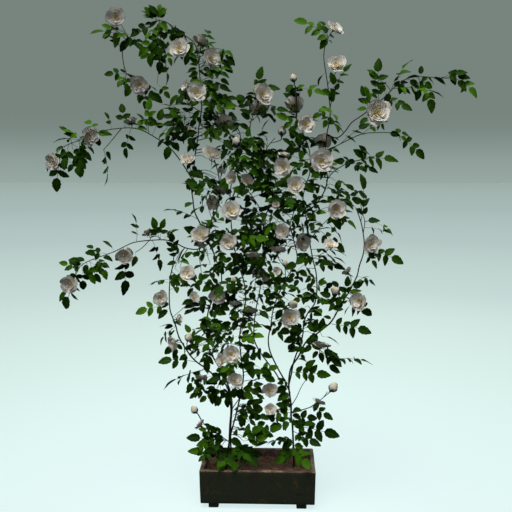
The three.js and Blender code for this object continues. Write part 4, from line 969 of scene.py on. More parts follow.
        (230, 975, 215, -50, 945, B), (315, 1270, 350, -60, 1205, B), (315, 1270, 295, -60, 1225, A),
        (320, 1275, 395, -60, 1280, A), (285, 1235, 355, -60, 1150, E), (245, 1115, 370, -60, 1100, E),
        (250, 1085, 370, -60, 1065, E), (250, 1070, 370, -50, 1040, E), (240, 1055, 315, -70, 1050, B),
        (250, 930, 185, -70, 900, B), (250, 885, 325, -60, 875, B), (235, 830, 270, -60, 850, B),
        (220, 785, 175, -60, 870, B), (210, 765, 260, -60, 815, E), (250, 900, 275, -60, 890, A),
        (200, 750, 135, -60, 775, B), (200, 730, 135, -60, 720, A), (200, 795, 230, -70, 775, B),
        (250, 900, 195, -60, 920, E), (145, 1565, 135, -50, 1630, B), (160, 1545, 175, -60, 1605, B),
        (165, 1535, 100, -70, 1580, B), (175, 1545, 185, -60, 1490, B), (180, 1470, 130, -60, 1475, A),
        (185, 1460, 220, -60, 1485, A), (150, 1425, 65, -80, 1380, B), (175, 1400, 235, -70, 1365, B),
        (190, 1365, 130, -80, 1345, B), (215, 1485, 245, -90, 1415, B), (205, 1595, 240, -50, 1565, B),
        (185, 755, 90, -90, 770, B), (185, 730, 110, -70, 730, B), (190, 700, 130, -60, 690, B),
        (235, 760, 255, -60, 715, A), (240, 740, 245, -60, 820, B), (210, 840, 270, -60, 840, B),
        (205, 865, 170, -60, 835, A), (225, 1075, 155, -110, 1070, B), (180, 1035, 130, -60, 995, B),
        (190, 1015, 155, -60, 960, B), (170, 1060, 120, -60, 1035, A), (215, 915, 145, -70, 895, B),
        (195, 940, 130, -60, 940, B), (240, 965, 170, -80, 1025, B), (195, 1300, 225, -60, 1245, B),
        (200, 1255, 235, -60, 1200, B), (215, 1150, 150, -60, 1130, B), (220, 1180, 175, -60, 1140, B),
        ],
    },
    "right_inner_cane": {
        "canes": [
            (2.8, 1.6, [
            (140, -10, 480), (115, -35, 545), (80, -55, 615), (50, -70, 690), (45, -75, 740), (55, -80, 795),
            (65, -80, 865), (85, -80, 925), (110, -80, 980), (140, -70, 1030), (165, -60, 1075),
            (150, -50, 1160), (135, -45, 1220), (150, -45, 1280), (140, -50, 1345), (125, -55, 1410),
            ]),
        ],
        "blooms": [
            (55, -100, 520, 68, 0.4, -0.9, 0.4), (135, -140, 845, 82, 0.1, -1, 0.12),
            (100, -110, 1200, 72, -0.55, -0.8, 0.1), (85, -60, 1120, 68, 0, 0.5, 0.85),
            (80, -110, 1035, 38, 0.1, -0.7, 0.2), (100, -110, 1465, 80, -0.4, -0.9, -0.05),
            (155, -110, 1390, 74, 0.1, -1, 0.12), (75, -80, 1310, 34, 0, -0.8, 0.1),
        ],
        "buds": [
            (150, -110, 895, 42, 0.1, -0.9, 0.4), (115, -120, 1070, 28, 0, -0.5, 0.85),
        ],
        "leaves": [
        (75, 1235, 20, -80, 1195, B), (85, 1160, 25, -90, 1140, B), (145, 1285, 175, -60, 1220, B),
        (135, 1175, 75, -80, 1145, B), (125, 1135, 50, -80, 1110, B), (120, 1115, 45, -60, 1060, B),
        (130, 905, 70, -70, 870, B), (120, 870, 65, -60, 825, B),
        ],
    },
    "right_back_cane": {
        "canes": [
            (2.8, 1.6, [
            (140, -10, 440), (110, 15, 495), (80, 35, 550), (40, 50, 600), (5, 65, 645), (-20, 80, 695),
            (-20, 90, 775), (-10, 100, 850), (5, 100, 925), (5, 100, 990), (15, 90, 1070), (25, 85, 1160),
            (25, 80, 1240), (-10, 65, 1310), (-40, 50, 1355), (-65, 40, 1390), (-95, 35, 1435),
            ]),
        ],
        "blooms": [
            (-45, -30, 1410, 58, 0.4, -0.8, 0.4), (-40, 40, 835, 66, 0, 0.7, 0.7),
            (50, 20, 1125, 38, 0.2, -0.7, 0.7), (-10, 30, 1010, 40, -0.2, -0.7, 0.7),
            (30, 40, 985, 40, 0.3, -0.9, 0.3),
        ],
        "buds": [(20, 20, 1230, 34, 0, -0.6, 0.8)],
        "leaves": [
        (-35, 1260, 15, -40, 1190, B), (-10, 1210, -75, -50, 1165, B), (0, 1205, 60, -60, 1175, B),
        (15, 1145, -40, -60, 1135, B), (-10, 1340, -50, -40, 1295, A), (40, 1145, 95, -60, 1115, B),
        (15, 1090, -10, -60, 1045, B), (25, 1070, -40, -60, 1065, B),
        ],
    },
    "tall_right_cane": {
        "canes": [
            (2.6, 1.6, [
            (200, 15, 1265), (245, 30, 1305), (280, 40, 1355), (295, 40, 1415), (285, 35, 1475),
            (285, 25, 1540), (290, 15, 1610), (300, 10, 1660), (300, 5, 1710), (295, 0, 1750),
            (290, -5, 1790), (280, -10, 1850), (270, -20, 1910), (275, -20, 1965), (285, -25, 1995),
            ]),
            (1.5, 1.2, [
            (300, 5, 1710), (310, 15, 1755), (315, 20, 1790),
            ]),
        ],
        "blooms": [
            (275, 70, 1575, 78, 0, 0.8, 0.6), (265, -60, 1490, 100, 0.1, -1, 0.12),
            (315, -60, 2025, 76, 0.55, -0.5, 0.62), (320, -60, 1885, 86, -0.1, -0.7, 0.55),
        ],
        "buds": [],
        "leaves": [
        (285, 1995, 145, -40, 2065, B), (285, 1990, 255, 30, 2070, A), (315, 1790, 390, 10, 1890, B),
        (300, 1710, 225, -60, 1665, A), (295, 1650, 360, -20, 1615, A), (280, 1850, 240, 40, 1810, A),
        (285, 2005, 240, -60, 1985, A), (280, 1995, 260, -30, 2040, B), (280, 2000, 320, -60, 2000, A),
        (280, 1990, 250, -50, 1945, A), (280, 1985, 300, -50, 1970, A), (310, 1800, 310, -40, 1860, B),
        (310, 1750, 265, -40, 1785, A), (310, 1740, 335, 20, 1815, A), (305, 1725, 315, -50, 1775, B),
        (290, 1685, 270, -60, 1625, B), (300, 1690, 335, -40, 1660, A), (300, 1675, 335, -60, 1605, E),
        (305, 1695, 250, -110, 1690, B), (285, 1600, 330, -60, 1565, B), (285, 1575, 230, -40, 1550, A),
        (290, 1460, 225, -90, 1420, B), (290, 1445, 330, -60, 1460, A), (285, 1535, 340, -30, 1525, A),
        (320, 1410, 380, -50, 1375, A), (320, 1385, 385, -60, 1335, B), (320, 1365, 370, 0, 1300, B),
        ],
    },
    "right_arc_upper": {
        "canes": [
            (2.0, 1.3, [
            (290, 15, 1600), (330, -20, 1585), (360, -40, 1610), (385, -50, 1645), (435, -60, 1680),
            (475, -60, 1715), (515, -60, 1745), (560, -55, 1790), (605, -50, 1820), (655, -45, 1830),
            (745, -35, 1825), (810, -30, 1825),
            ]),
        ],
        "blooms": [(485, -110, 1685, 106, 0.1, -1, 0.12)],
        "buds": [],
        "leaves": [
        (490, 1730, 490, -60, 1905, B), (540, 1780, 635, -30, 1905, E), (810, 1825, 895, -60, 1745, B),
        (675, 1830, 715, -70, 1680, B), (550, 1785, 750, -100, 1745, A), (520, 1745, 620, -110, 1685, B),
        (745, 1825, 850, -60, 1845, A), (440, 1685, 435, -90, 1790, A), (460, 1685, 415, -90, 1790, B),
        (595, 1810, 655, -60, 1840, E), (610, 1820, 665, -60, 1785, B), (645, 1825, 710, -60, 1785, B),
        (745, 1825, 865, -50, 1825, B), (610, 1815, 690, -30, 1785, A), (465, 1660, 525, -110, 1615, B),
        (460, 1665, 415, -80, 1640, A), (545, 1785, 575, -60, 1815, A), (575, 1800, 615, -40, 1815, A),
        (460, 1685, 405, -60, 1705, A), (660, 1785, 650, -60, 1730, B), (705, 1820, 770, -40, 1805, E),
        (520, 1765, 480, -50, 1815, A), (545, 1765, 515, -60, 1720, B), (595, 1800, 570, -60, 1760, B),
        (630, 1815, 660, -50, 1770, A), (680, 1815, 725, -40, 1800, A), (565, 1785, 630, -50, 1770, E),
        (490, 1735, 450, -50, 1770, A), (655, 1830, 675, -40, 1875, A), (490, 1815, 450, -60, 1865, B),
        (810, 1825, 845, -60, 1770, B),
        ],
    },
    "right_arc_lower": {
        "canes": [
            (1.8, 1.3, [
            (285, 25, 1535), (325, 50, 1550), (375, 65, 1575), (445, 70, 1605), (510, 70, 1610),
            (550, 70, 1610), (600, 70, 1600),
            ]),
        ],
        "blooms": [],
        "buds": [],
        "leaves": [
        (600, 1605, 715, 60, 1500, B), (550, 1615, 660, 110, 1595, A), (350, 1560, 485, 100, 1650, B),
        (445, 1605, 545, 30, 1660, A), (550, 1615, 605, 60, 1595, B), (605, 1605, 640, 60, 1570, B),
        ],
    },
    "right_arc_third": {
        "canes": [
            (1.8, 1.3, [
            (290, 40, 1405), (320, 75, 1440), (375, 90, 1475), (440, 100, 1495), (500, 100, 1510),
            ]),
        ],
        "blooms": [],
        "buds": [],
        "leaves": [
        (405, 1485, 515, 70, 1435, B), (405, 1495, 605, 80, 1495, B), (415, 1485, 330, 50, 1490, A),
        (395, 1485, 460, 60, 1445, B), (405, 1485, 375, 70, 1460, B), (375, 1485, 325, 60, 1500, B),
        (430, 1500, 375, 80, 1485, B), (450, 1505, 415, 60, 1545, B), (465, 1495, 435, 60, 1555, B),
        (480, 1500, 455, 60, 1535, B),
        ],
    },
    "centre_top_cane": {
        "canes": [
            (2.4, 1.5, [
            (20, 80, 1240), (55, 60, 1310), (60, 40, 1375), (35, 25, 1450), (15, 15, 1500), (-15, 5, 1540),
            (-30, 0, 1585), (-35, -5, 1630), (-20, -10, 1685), (0, -10, 1725),
            ]),
            (1.6, 1.3, [
            (15, 15, 1500), (40, -5, 1550), (70, -15, 1585),
            ]),
        ],
        "blooms": [
            (25, -80, 1760, 90, 0.55, -0.8, 0.1), (0, 40, 1715, 90, -0.3, 0.75, 0.6),
            (110, -40, 1520, 50, 0.2, -0.2, 0.95),
        ],
        "buds": [(100, -20, 1615, 42, 0.1, -0.2, 1)],
        "leaves": [
        (0, 1725, 10, -20, 1880, B), (-25, 1660, -85, 20, 1770, A), (15, 1500, 175, 50, 1535, A),
        (-25, 1660, -65, -40, 1690, B), (-25, 1675, -75, -30, 1705, A), (-30, 1645, -20, -60, 1665, B),
        (0, 1710, 75, -40, 1720, A), (0, 1690, 130, -40, 1690, A), (-10, 1690, 75, -40, 1655, E),
        (-30, 1620, -75, -30, 1650, A), (15, 1500, -10, -30, 1570, B), (15, 1510, -35, -40, 1525, B),
        (25, 1485, 100, -40, 1540, E), (15, 1535, 35, -50, 1585, A), (0, 1560, -60, -50, 1565, B),
        (30, 1475, 60, -60, 1510, B), (-20, 1690, 15, -30, 1650, E), (25, 1495, -25, -30, 1585, E),
        (-30, 1575, -85, -60, 1550, B), (-35, 1580, -5, -60, 1525, B), (-5, 1585, 30, -50, 1545, B),
        (-35, 1575, 20, -40, 1590, E), (-15, 1530, 60, -60, 1500, B), (-25, 1505, -55, -50, 1540, B),
        (50, 1535, 90, -40, 1505, A), (25, 1445, -65, -70, 1480, B), (25, 1425, -60, -60, 1405, B),
        (40, 1390, -35, -70, 1445, B), (35, 1445, -5, -60, 1515, B), (40, 1415, 30, -80, 1495, B),
        (50, 1385, -10, -60, 1365, B), (15, 1400, -75, -50, 1375, B), (-15, 1775, -45, -40, 1725, A),
        (0, 1755, 40, -40, 1785, B), (15, 1780, 90, -40, 1795, A), (15, 1500, -50, -40, 1460, B),
        (15, 1470, -45, -50, 1410, B), (25, 1460, -10, -40, 1370, B), (15, 1535, -10, -60, 1495, B),
        ],
    },
}
ALL_FLOWERS = [flower for stem in STEMS.values() for flower in stem["blooms"] + stem["buds"]]
leaf_count = sum(len(stem["leaves"]) for stem in STEMS.values())
print(len(STEMS), "stems,", len(ALL_FLOWERS), "blooms and buds,", leaf_count, "leaves")

# %% [markdown]
# ## Smooth paths
# A cane bends smoothly through its points. A centripetal Catmull-Rom curve does that without loops, also
# where points lie close together. Blender's own Bezier function draws each span once its handles are
# known, and they follow from the slope of the curve at both ends of the span.

# %% Helper: a smooth path through points
def smooth_path(route, spacing=14.0):
    knots = [Vector(point) for point in route]
    knots = [2 * knots[0] - knots[1], *knots, 2 * knots[-1] - knots[-2]]
    path = [knots[1]]
    for before, start, end, after in zip(knots, knots[1:], knots[2:], knots[3:]):
        pairs = (before, start), (start, end), (end, after)
        lead, span, follow = [math.sqrt((b - a).length) for a, b in pairs]
        leaving = (start - before) / lead - (end - before) / (lead + span) + (end - start) / span
        arriving = (end - start) / span - (after - start) / (span + follow) + (after - end) / follow
        count = max(2, round((end - start).length / spacing) + 1)
        handles = start + leaving * span / 3, end - arriving * span / 3
        path += interpolate_bezier(start, *handles, end, count)[1:]
    return path


def nearest(points, distance):
    """The point of a list at which a measure of distance is least."""
    return min(points, key=distance)


print("a test path has", len(smooth_path([(0, 0, 0), (0, 0, 100), (50, 0, 160)])), "points")

# %% [markdown]
# ## A round bar along a path
# Canes, flower stalks and leaf stalks are all the same shape: a small disc that travels along a path and
# gets thinner. The disc's face is extruded again and again, and each new ring is turned to face the way
# ahead. Turning it by the smallest possible angle keeps the bar from twisting.

# %% Helper: bars, and copies of a finished shape
def tone_layer(bm):
    return bm.verts.layers.float.get("tone") or bm.verts.layers.float.new("tone")


def add_bar(bm, points, foot, tip, sides, tones=(0.0, 0.0)):
    """A round bar along points, from radius foot to radius tip, and from one tone to the other."""
    layer = tone_layer(bm)
    disc = bmesh.ops.create_circle(bm, cap_ends=True, segments=sides, radius=1.0)["verts"]
    cap = disc[0].link_faces[0]
    heading = points[1] - points[0]
    turn = Vector((0, 0, 1)).rotation_difference(heading)
    here = Matrix.Identity(4)
    last = len(points) - 1
    for i, point in enumerate(points):
        if i:
            grown = bmesh.ops.extrude_face_region(bm, geom=[cap])["geom"]
            cap = next(element for element in grown if isinstance(element, bmesh.types.BMFace))
            ahead = points[min(i + 1, last)] - points[i - 1]
            turn = heading.rotation_difference(ahead) @ turn
            heading = ahead
        radius = foot + (tip - foot) * i / last
        there = Matrix.LocRotScale(point, turn, Vector((radius, radius, 1)))
        bmesh.ops.transform(bm, matrix=there @ here.inverted(), verts=list(cap.verts))
        for vert in cap.verts:
            vert[layer] = tones[0] + (tones[1] - tones[0]) * i / last
        here = there
    for face in disc[0].link_faces:
        face.smooth = True


def add_copy(bm, shape, matrix, tone):
    """A copy of a finished shape, moved by a matrix, its own tones shifted by one amount."""
    layer = tone_layer(bm)
    first = len(bm.verts)
    bm.from_mesh(shape)
    bm.verts.ensure_lookup_table()
    fresh = bm.verts[first:]
    bmesh.ops.transform(bm, matrix=matrix, verts=fresh)
    for vert in fresh:
        vert[layer] += tone


def placed(spot, turn, size):
    """The matrix that turns a shape, makes it that many times as large and moves it to a spot."""
    return Matrix.LocRotScale(spot, turn, Vector((size,) * 3))


def new_shape():
    """An empty bmesh with the UV map that the leaf and petal finishes read."""
    bm = bmesh.new()
    bm.loops.layers.uv.new("blade")
    return bm


def keep_shape(name, bm):
    """Stores a bmesh as a mesh to be copied from, with smooth shading."""
    for face in bm.faces:
        face.smooth = True
    shape = bpy.data.meshes.new(name)
    bm.to_mesh(shape)
    bm.free()
    print(name, len(shape.polygons), "faces")
    return shape


# %% [markdown]
# ## One leaflet
# A rose leaflet is an oval that ends in a point, folded a little along its midrib, with a toothed edge
# and a tip that hangs. It appears more than two thousand times, so it is made of a few dozen faces: a flat
# grid whose points are moved by one rule. It is a sheet, since the real blade is hardly thicker than paper.

# %% Leaflet
STEPS_ALONG, STEPS_ACROSS, SAME_POINT = 8, 4, 1e-4
HALF_WIDTH, TO_STALK, TO_TIP = 0.76, 0.55, 0.88
TOOTH, NICK = 1.07, 0.96
FOLD, RIPPLE, DROOP = 0.22, 0.025, 0.16


def make_leaflet():
    bm = new_shape()
    bmesh.ops.create_grid(bm, x_segments=STEPS_ALONG, y_segments=STEPS_ACROSS, size=0.5, calc_uvs=True)
    for vert in bm.verts:
        along, side = vert.co.x + 0.5, 2 * vert.co.y
        width = HALF_WIDTH * max(along, 0) ** TO_STALK * max(1 - along, 0) ** TO_TIP
        tooth = TOOTH if round(along * STEPS_ALONG) % 2 else NICK
        half = side * width * (tooth if abs(side) > 0.9 else 1)
        lift = FOLD * abs(half) + RIPPLE * side * math.sin(7 * along) - DROOP * along**2.5
        vert.co = (along, half, lift)
    bmesh.ops.remove_doubles(bm, verts=bm.verts, dist=SAME_POINT)
    return keep_shape("leaflet", bm)


leaflet = make_leaflet()

# %% [markdown]
# ## Whole leaves
# A rose leaf carries one, three, five or seven leaflets on one slender stalk: pairs at the sides and one at
# the end, which is the biggest. The stalk arches. Here it has unit length and runs along X, so that a leaf
# of any size is a copy. Four versions of each kind, with their leaflets turned a little differently,
# are enough for no two neighbours to look alike.

# %% Whole leaves of one to seven leaflets
LEAF_ARCH, PAIR_LEAN, VERSIONS = 0.3, 1.05, 4
STALK_FOOT, STALK_TIP, STALK_SIDES = 0.008, 0.005, 3
# For each number of pairs: where on the stalk each pair sits and how long its leaflets are
PAIRS = {
    0: [],
    1: [(0.36, 0.35)],
    2: [(0.25, 0.25), (0.48, 0.28)],
    3: [(0.17, 0.2), (0.34, 0.235), (0.5, 0.26)],
}
# And where the stalk ends in the last leaflet, which reaches on to one
END_JOINT = {0: 0.22, 1: 0.56, 2: 0.63, 3: 0.66}


def on_stalk(x):
    return Vector((x, 0, LEAF_ARCH * x * (1 - x)))


def make_leaf(pairs, version):
    chance_of = random.Random(10 * pairs + version)
    bm = new_shape()
    end = END_JOINT[pairs]
    add_bar(bm, [on_stalk(end * i / 4) for i in range(5)], STALK_FOOT, STALK_TIP, STALK_SIDES)
    hang = Matrix.Rotation(0.12, 4, "Y") @ Matrix.Rotation(chance_of.uniform(-0.15, 0.15), 4, "Z")
    add_copy(bm, leaflet, Matrix.Translation(on_stalk(end)) @ hang @ Matrix.Scale(1 - end, 4), 0)
    for joint, reach in PAIRS[pairs]:
        for side in (-1, 1):
            lean = side * PAIR_LEAN * chance_of.uniform(0.8, 1.15)
            turn = Matrix.Rotation(lean, 4, "Z") @ Matrix.Rotation(chance_of.uniform(-0.2, 0.5), 4, "Y")
            roll = Matrix.Rotation(side * chance_of.uniform(-0.3, 0.6), 4, "X")
            size = Matrix.Scale(reach * chance_of.uniform(0.92, 1.08), 4)
            add_copy(bm, leaflet, Matrix.Translation(on_stalk(joint)) @ turn @ roll @ size, 0)
    return keep_shape(f"leaf_{2 * pairs + 1}_{version}", bm)


LEAVES = {pairs: [make_leaf(pairs, version) for version in range(VERSIONS)] for pairs in PAIRS}

# %% [markdown]
# ## Petals
# The petals of a rose lie in each other like the walls of nested bowls. So a petal is a part of a bowl: a
# grid whose points are moved by one rule, from the foot in the middle, out and up to the rim. `bend` is how
# far the wall turns on its way, in radians: a small one gives an open dish, and more than a right angle
# gives a wall that leans in again. One edge of each petal lies outside its neighbour and the other edge
# inside, which is why `TUCK` makes the radius grow from edge to edge. The rim is rounded, notched and
# uneven, and rolls outward.

# %% Petal
TUCK, NOTCH, RIM_WAVE = 0.08, 0.07, 0.04
ROLL_DOWN, ROLL_OUT = 0.09, 0.05


def make_petal(name, reach, rise, bend, spread, phase):
    bm = new_shape()
    bmesh.ops.create_grid(bm, x_segments=7, y_segments=8, size=0.5, calc_uvs=True)
    widest = math.sin(min(bend, math.pi / 2))
    for vert in bm.verts:
        along, side = vert.co.x + 0.5, 2 * vert.co.y
        notch = NOTCH * math.exp(-8 * (side - 0.25 * math.sin(phase)) ** 2) * along**4
        climb = along * (1 - 0.3 * abs(side) ** 3) - notch + RIM_WAVE * math.sin(4 * side + phase) * along**4
        radius = reach * math.sin(bend * climb) / widest * (1 + TUCK * side)
        height = rise * (1 - math.cos(bend * climb)) / (1 - math.cos(bend))
        height += along**3 * (0.06 * math.sin(3 * side + 2 * phase) - 0.04 * side)
        height -= ROLL_DOWN * rise * along**10
        radius += ROLL_OUT * reach * along**10
        heading = side * spread * (0.4 + 0.6 * math.sqrt(along))
        vert.co = (radius * math.cos(heading), radius * math.sin(heading), height)
    bmesh.ops.remove_doubles(bm, verts=bm.verts, dist=SAME_POINT)
    return keep_shape(name, bm)


# %% [markdown]
# ## Flowers
# A flower is rings of such petals that get smaller and steeper towards the middle, each ring set in the
# gaps of the last. An open bloom is a wide dish with a few crumpled small petals round its stamens, and a
# half-open one is a deep cup. The unit flower has a radius of one and looks up, with the middle of its rim
# at the origin, so a bloom of any size is a copy that is turned. Petals and stamens are set round the
# middle by even steps and by the golden angle.

# %% Open and half-open flowers
GOLDEN_TURN = 2.39996
CUP_DEPTH, HALF_OPEN_DEPTH = 0.42, 0.6
STAMENS, STAMEN_SPREAD, STAMEN_RADIUS, SACK_RADIUS = 12, 0.16, 0.006, 0.024
# A ring: how many petals, then reach, rise, bend and spread of each
OPEN_RINGS = [
    (5, 1.0, 0.42, 1.15, 0.72),
    (5, 0.8, 0.5, 1.4, 0.72),
    (4, 0.54, 0.5, 1.7, 0.75),
    (3, 0.32, 0.4, 1.9, 0.8),
]
HALF_OPEN_RINGS = [
    (5, 0.98, 0.62, 1.35, 0.8),
    (4, 0.76, 0.68, 1.7, 0.9),
    (3, 0.5, 0.66, 1.9, 0.95),
    (3, 0.28, 0.56, 2.1, 0.9),
]


def add_stamens(bm, count, depth):
    """Stamens with pollen sacks, in the second material of the flower."""
    petal_faces = len(bm.faces)
    for i in range(count):
        heading, spread = i * GOLDEN_TURN, STAMEN_SPREAD * math.sqrt((i + 0.5) / count)
        tip = Vector((spread * math.cos(heading), spread * math.sin(heading), 0.24 - 0.5 * spread - depth))
        add_bar(bm, [Vector((0, 0, 0.05 - depth)), tip], STAMEN_RADIUS, STAMEN_RADIUS, 3)
        sack = bmesh.ops.create_icosphere(bm, subdivisions=1, radius=SACK_RADIUS)["verts"]
        bmesh.ops.translate(bm, vec=tip, verts=sack)
    bm.faces.ensure_lookup_table()
    for face in bm.faces[petal_faces:]:
        face.material_index = 1


def make_flower(name, rings, depth, stamens, seed):
    chance_of = random.Random(seed)
    bm = new_shape()
    start = chance_of.uniform(0, math.tau)
    for ring, (count, *form) in enumerate(rings):
        petal = make_petal(f"{name}_petal_{ring}", *form, chance_of.uniform(0, 6))
        foot = Matrix.Translation((0, 0, 0.04 + 0.02 * ring - depth))
        for i in range(count):
            heading = start + math.tau * (i + 0.5 * (ring % 2)) / count + chance_of.uniform(-0.1, 0.1)
            tilt = Matrix.Rotation(chance_of.uniform(-0.16, 0.1), 4, "Y")
            wide, high = chance_of.uniform(0.88, 1.07), chance_of.uniform(0.85, 1.15)
            size = Matrix.Diagonal((wide, wide, high, 1))
            # The tone moves inner rings towards yellow and outer rims towards the petal's painted grey shade.
            add_copy(bm, petal, foot @ Matrix.Rotation(heading, 4, "Z") @ tilt @ size, 0.16 * ring - 0.28)
    add_stamens(bm, stamens, depth)
    return keep_shape(name, bm)


OPEN_FLOWERS = [
    make_flower(f"open_flower_{n}", OPEN_RINGS, CUP_DEPTH, STAMENS, n) for n in range(5)
]
HALF_OPEN_FLOWERS = [
    make_flower(f"half_open_flower_{n}", HALF_OPEN_RINGS, HALF_OPEN_DEPTH, 0, 9 + n) for n in range(3)
]

# %% [markdown]
# ## Buds
# A bud is a pointed egg of petals wrapped round each other. The wrapping shows as shallow spiral folds,
# which a ball gets when its points are pushed in and out by their turn and height. Its UV map is laid so
# that the yellow of a petal's foot comes out at the tip of the bud, and the painted grey shade of a
# petal's rim at its foot.

# %% Bud
BUD_WAIST, BUD_TAPER, FOLD_DEPTH = 0.82, 0.28, 0.07


def make_bud():
    bm = new_shape()
    bmesh.ops.create_uvsphere(bm, u_segments=15, v_segments=10, radius=1.0, calc_uvs=True)
    for vert in bm.verts:
        x, y, z = vert.co
        fold = 1 + FOLD_DEPTH * math.sin(3 * math.atan2(y, x) + 3 * z) * (1 - z * z)
        slim = BUD_WAIST - BUD_TAPER * max(0, z)
        vert.co = (x * slim * fold, y * slim * fold, z)
    blade = bm.loops.layers.uv["blade"]
    for face in bm.faces:
        for loop in face.loops:
            # U passes one near the foot, which takes the grey of a petal's rim: painted shade.
            loop[blade].uv.x = 0.86 - 0.5 * loop.vert.co.z
    return keep_shape("bud", bm)


BUD = make_bud()

# %% [markdown]
# ## Calyxes
# Behind every flower sits the calyx: a small round hip and five narrow sepals, which bend back from an open
# bloom. Round a bud they still lie close, so those are bent over the same egg, a little outside its petals.
# The calyx of a bloom is made in units of its hip, and that of a bud in units of the bud's radius.

# %% Calyxes of blooms and buds
SEPALS, HIP_STRETCH = 5, 1.35


def add_hip(bm, radius, drop):
    hip = bmesh.ops.create_uvsphere(bm, u_segments=8, v_segments=6, radius=radius)["verts"]
    place = Matrix.LocRotScale(Vector((0, 0, -drop)), None, Vector((1, 1, HIP_STRETCH)))
    bmesh.ops.transform(bm, matrix=place, verts=hip)


def make_bloom_calyx(stands=0.1, length=4.2, curl=-1.6):
    bm = bmesh.new()
    add_hip(bm, 1.0, 1)
    for i in range(SEPALS):
        sepal = bmesh.ops.create_grid(bm, x_segments=5, y_segments=2, size=0.5)["verts"]
        for vert in sepal:
            along, side = vert.co.x + 0.5, 2 * vert.co.y
            half = side * 0.8 * (1 - along) ** 0.8 * (0.7 + along)
            vert.co = (0.4 + along * length, half, curl * along**2 + 0.3 * abs(half))
        turn = Matrix.Rotation(math.tau * i / SEPALS, 4, "Z") @ Matrix.Rotation(-stands, 4, "Y")
        bmesh.ops.transform(bm, matrix=turn, verts=sepal)
    return keep_shape("bloom_calyx", bm)


def make_bud_calyx(first=0.2, sweep=1.4, spread=0.72, waist=0.9, pole=1.05):
    """Five sepals lie on the egg of the bud, from its foot up to a little over its waist."""
    bm = bmesh.new()
    add_hip(bm, 0.25, pole)
    for i in range(SEPALS):
        sepal = bmesh.ops.create_grid(bm, x_segments=6, y_segments=2, size=0.5)["verts"]
        for vert in sepal:
            along, side = vert.co.x + 0.5, 2 * vert.co.y
            down = first + sweep * along
            heading = math.tau * i / SEPALS + spread * side * (1 - along) ** 0.6
            out = waist * math.sin(down)
            vert.co = (out * math.cos(heading), out * math.sin(heading), -pole * math.cos(down))
    return keep_shape("bud_calyx", bm)


BLOOM_CALYX, BUD_CALYX = make_bloom_calyx(), make_bud_calyx()

# %% [markdown]
# ## Prickles
# Rose prickles are short hooks that point down. A four-sided cone, flattened and tilted, is all that can be
# seen of one, and there are hundreds.

# %% Prickle
PRICKLE_LENGTH, PRICKLE_FOOT, PRICKLE_TIP = 5, 1.6, 0.1

bm = bmesh.new()
bmesh.ops.create_cone(
    bm, cap_ends=True, segments=4, radius1=PRICKLE_FOOT, radius2=PRICKLE_TIP, depth=PRICKLE_LENGTH
)
bmesh.ops.scale(bm, vec=(1, 0.5, 1), verts=bm.verts)
bmesh.ops.translate(bm, vec=(0, 0, 2.4), verts=bm.verts)
prickle = keep_shape("prickle", bm)

# %% [markdown]
# ## Growing one stem
# Everything now comes together for one stem at a time: its canes, then a stalk for each flower and bud,
# then its leaves. A side cane springs from the nearest point of the canes that are there already. A leaf or
# stalk finds its foot in the same way, so nothing hangs in the air whatever the tables say.

# %% Helper: canes of a stem
FOOT_SWELL, TIP_SWELL, CANE_SIDES = 1.25, 1.15, 6
MAIN_TONES, SIDE_TONES = (0.0, 0.75), (0.35, 0.9)


def add_prickles(wood, path, radius, chance_of):
    for start, end in zip(path[1:-2:3], path[2:-1:3]):
        around = Quaternion(end - start, chance_of.uniform(0, math.tau))
        out = (around @ (end - start).orthogonal()).normalized()
        hook = (out - 0.5 * (end - start).normalized()).to_track_quat("Z", "X")
        add_copy(wood, prickle, placed(start + 0.7 * radius * out, hook, chance_of.uniform(0.5, 1.0)), 0.5)


def grow_canes(wood, canes, chance_of):
    """Adds the canes as bars with prickles, and returns their paths."""
    paths = []
    for order, (foot, tip, route) in enumerate(canes):
        points = list(route)
        if order:
            borne_by = [point for path in paths for point in path]
            points[0] = nearest(borne_by, lambda p: (p - Vector(route[0])).length)
        path = smooth_path(points)
        tones = SIDE_TONES if order else MAIN_TONES
        add_bar(wood, path, FOOT_SWELL * foot, TIP_SWELL * tip, CANE_SIDES, tones)
        paths.append(path)
        add_prickles(wood, path, tip, chance_of)
    return paths


# %% [markdown]
# A flower sits on a thin stalk that leaves the cane some way below and behind it. The stalk reaches the
# flower from behind, along the way it looks.

# %% Helper: a flower or bud on its stalk
STALK_NECK, STALK_LEAD, STALK_DROP = 22, 30, 40
STALK_RADIUS, BLOOM_NECK, BUD_NECK, FLOWER_STALK_SIDES = 1.2, 1.8, 2.4, 5
OPEN_FROM, BUD_DEPTH, BUD_FOOT, HIP = 48, 0.75, 1.3, 4.0


def grow_flower(wood, petals, samples, flower, is_bud, chance_of):
    x, y, z, diameter, *towards = flower
    centre, radius = Vector((x, y, z)), diameter / 2
    looks = Vector(towards).normalized()
    upright = looks.to_track_quat("Z", "Y") @ Quaternion((0, 0, 1), chance_of.uniform(0, math.tau))
    open_wide = diameter > OPEN_FROM
    depth = BUD_DEPTH if is_bud else CUP_DEPTH if open_wide else HALF_OPEN_DEPTH
    base = centre - depth * radius * looks
    wanted = base - STALK_LEAD * looks - Vector((0, 0, STALK_DROP))
    start = nearest(samples, lambda p: (p - wanted).length)
    bend = base - STALK_NECK * looks
    if is_bud:
        end, neck = centre - BUD_FOOT * radius * looks, BUD_NECK
    else:
        end, neck = base - 2 * HIP * looks, BLOOM_NECK
    add_bar(wood, smooth_path([start, bend, end], 8), STALK_RADIUS, neck, FLOWER_STALK_SIDES, (0.7, 1.0))
    if is_bud:
        add_copy(wood, BUD_CALYX, placed(centre, upright, radius), 1.0)
        shape, tone = BUD, 0.3
    else:
        add_copy(wood, BLOOM_CALYX, placed(base, upright, HIP), 1.0)
        shape = chance_of.choice(OPEN_FLOWERS if open_wide else HALF_OPEN_FLOWERS)
        tone = chance_of.uniform(-0.15, 0.15)
    add_copy(petals, shape, placed(centre, upright, radius), tone)


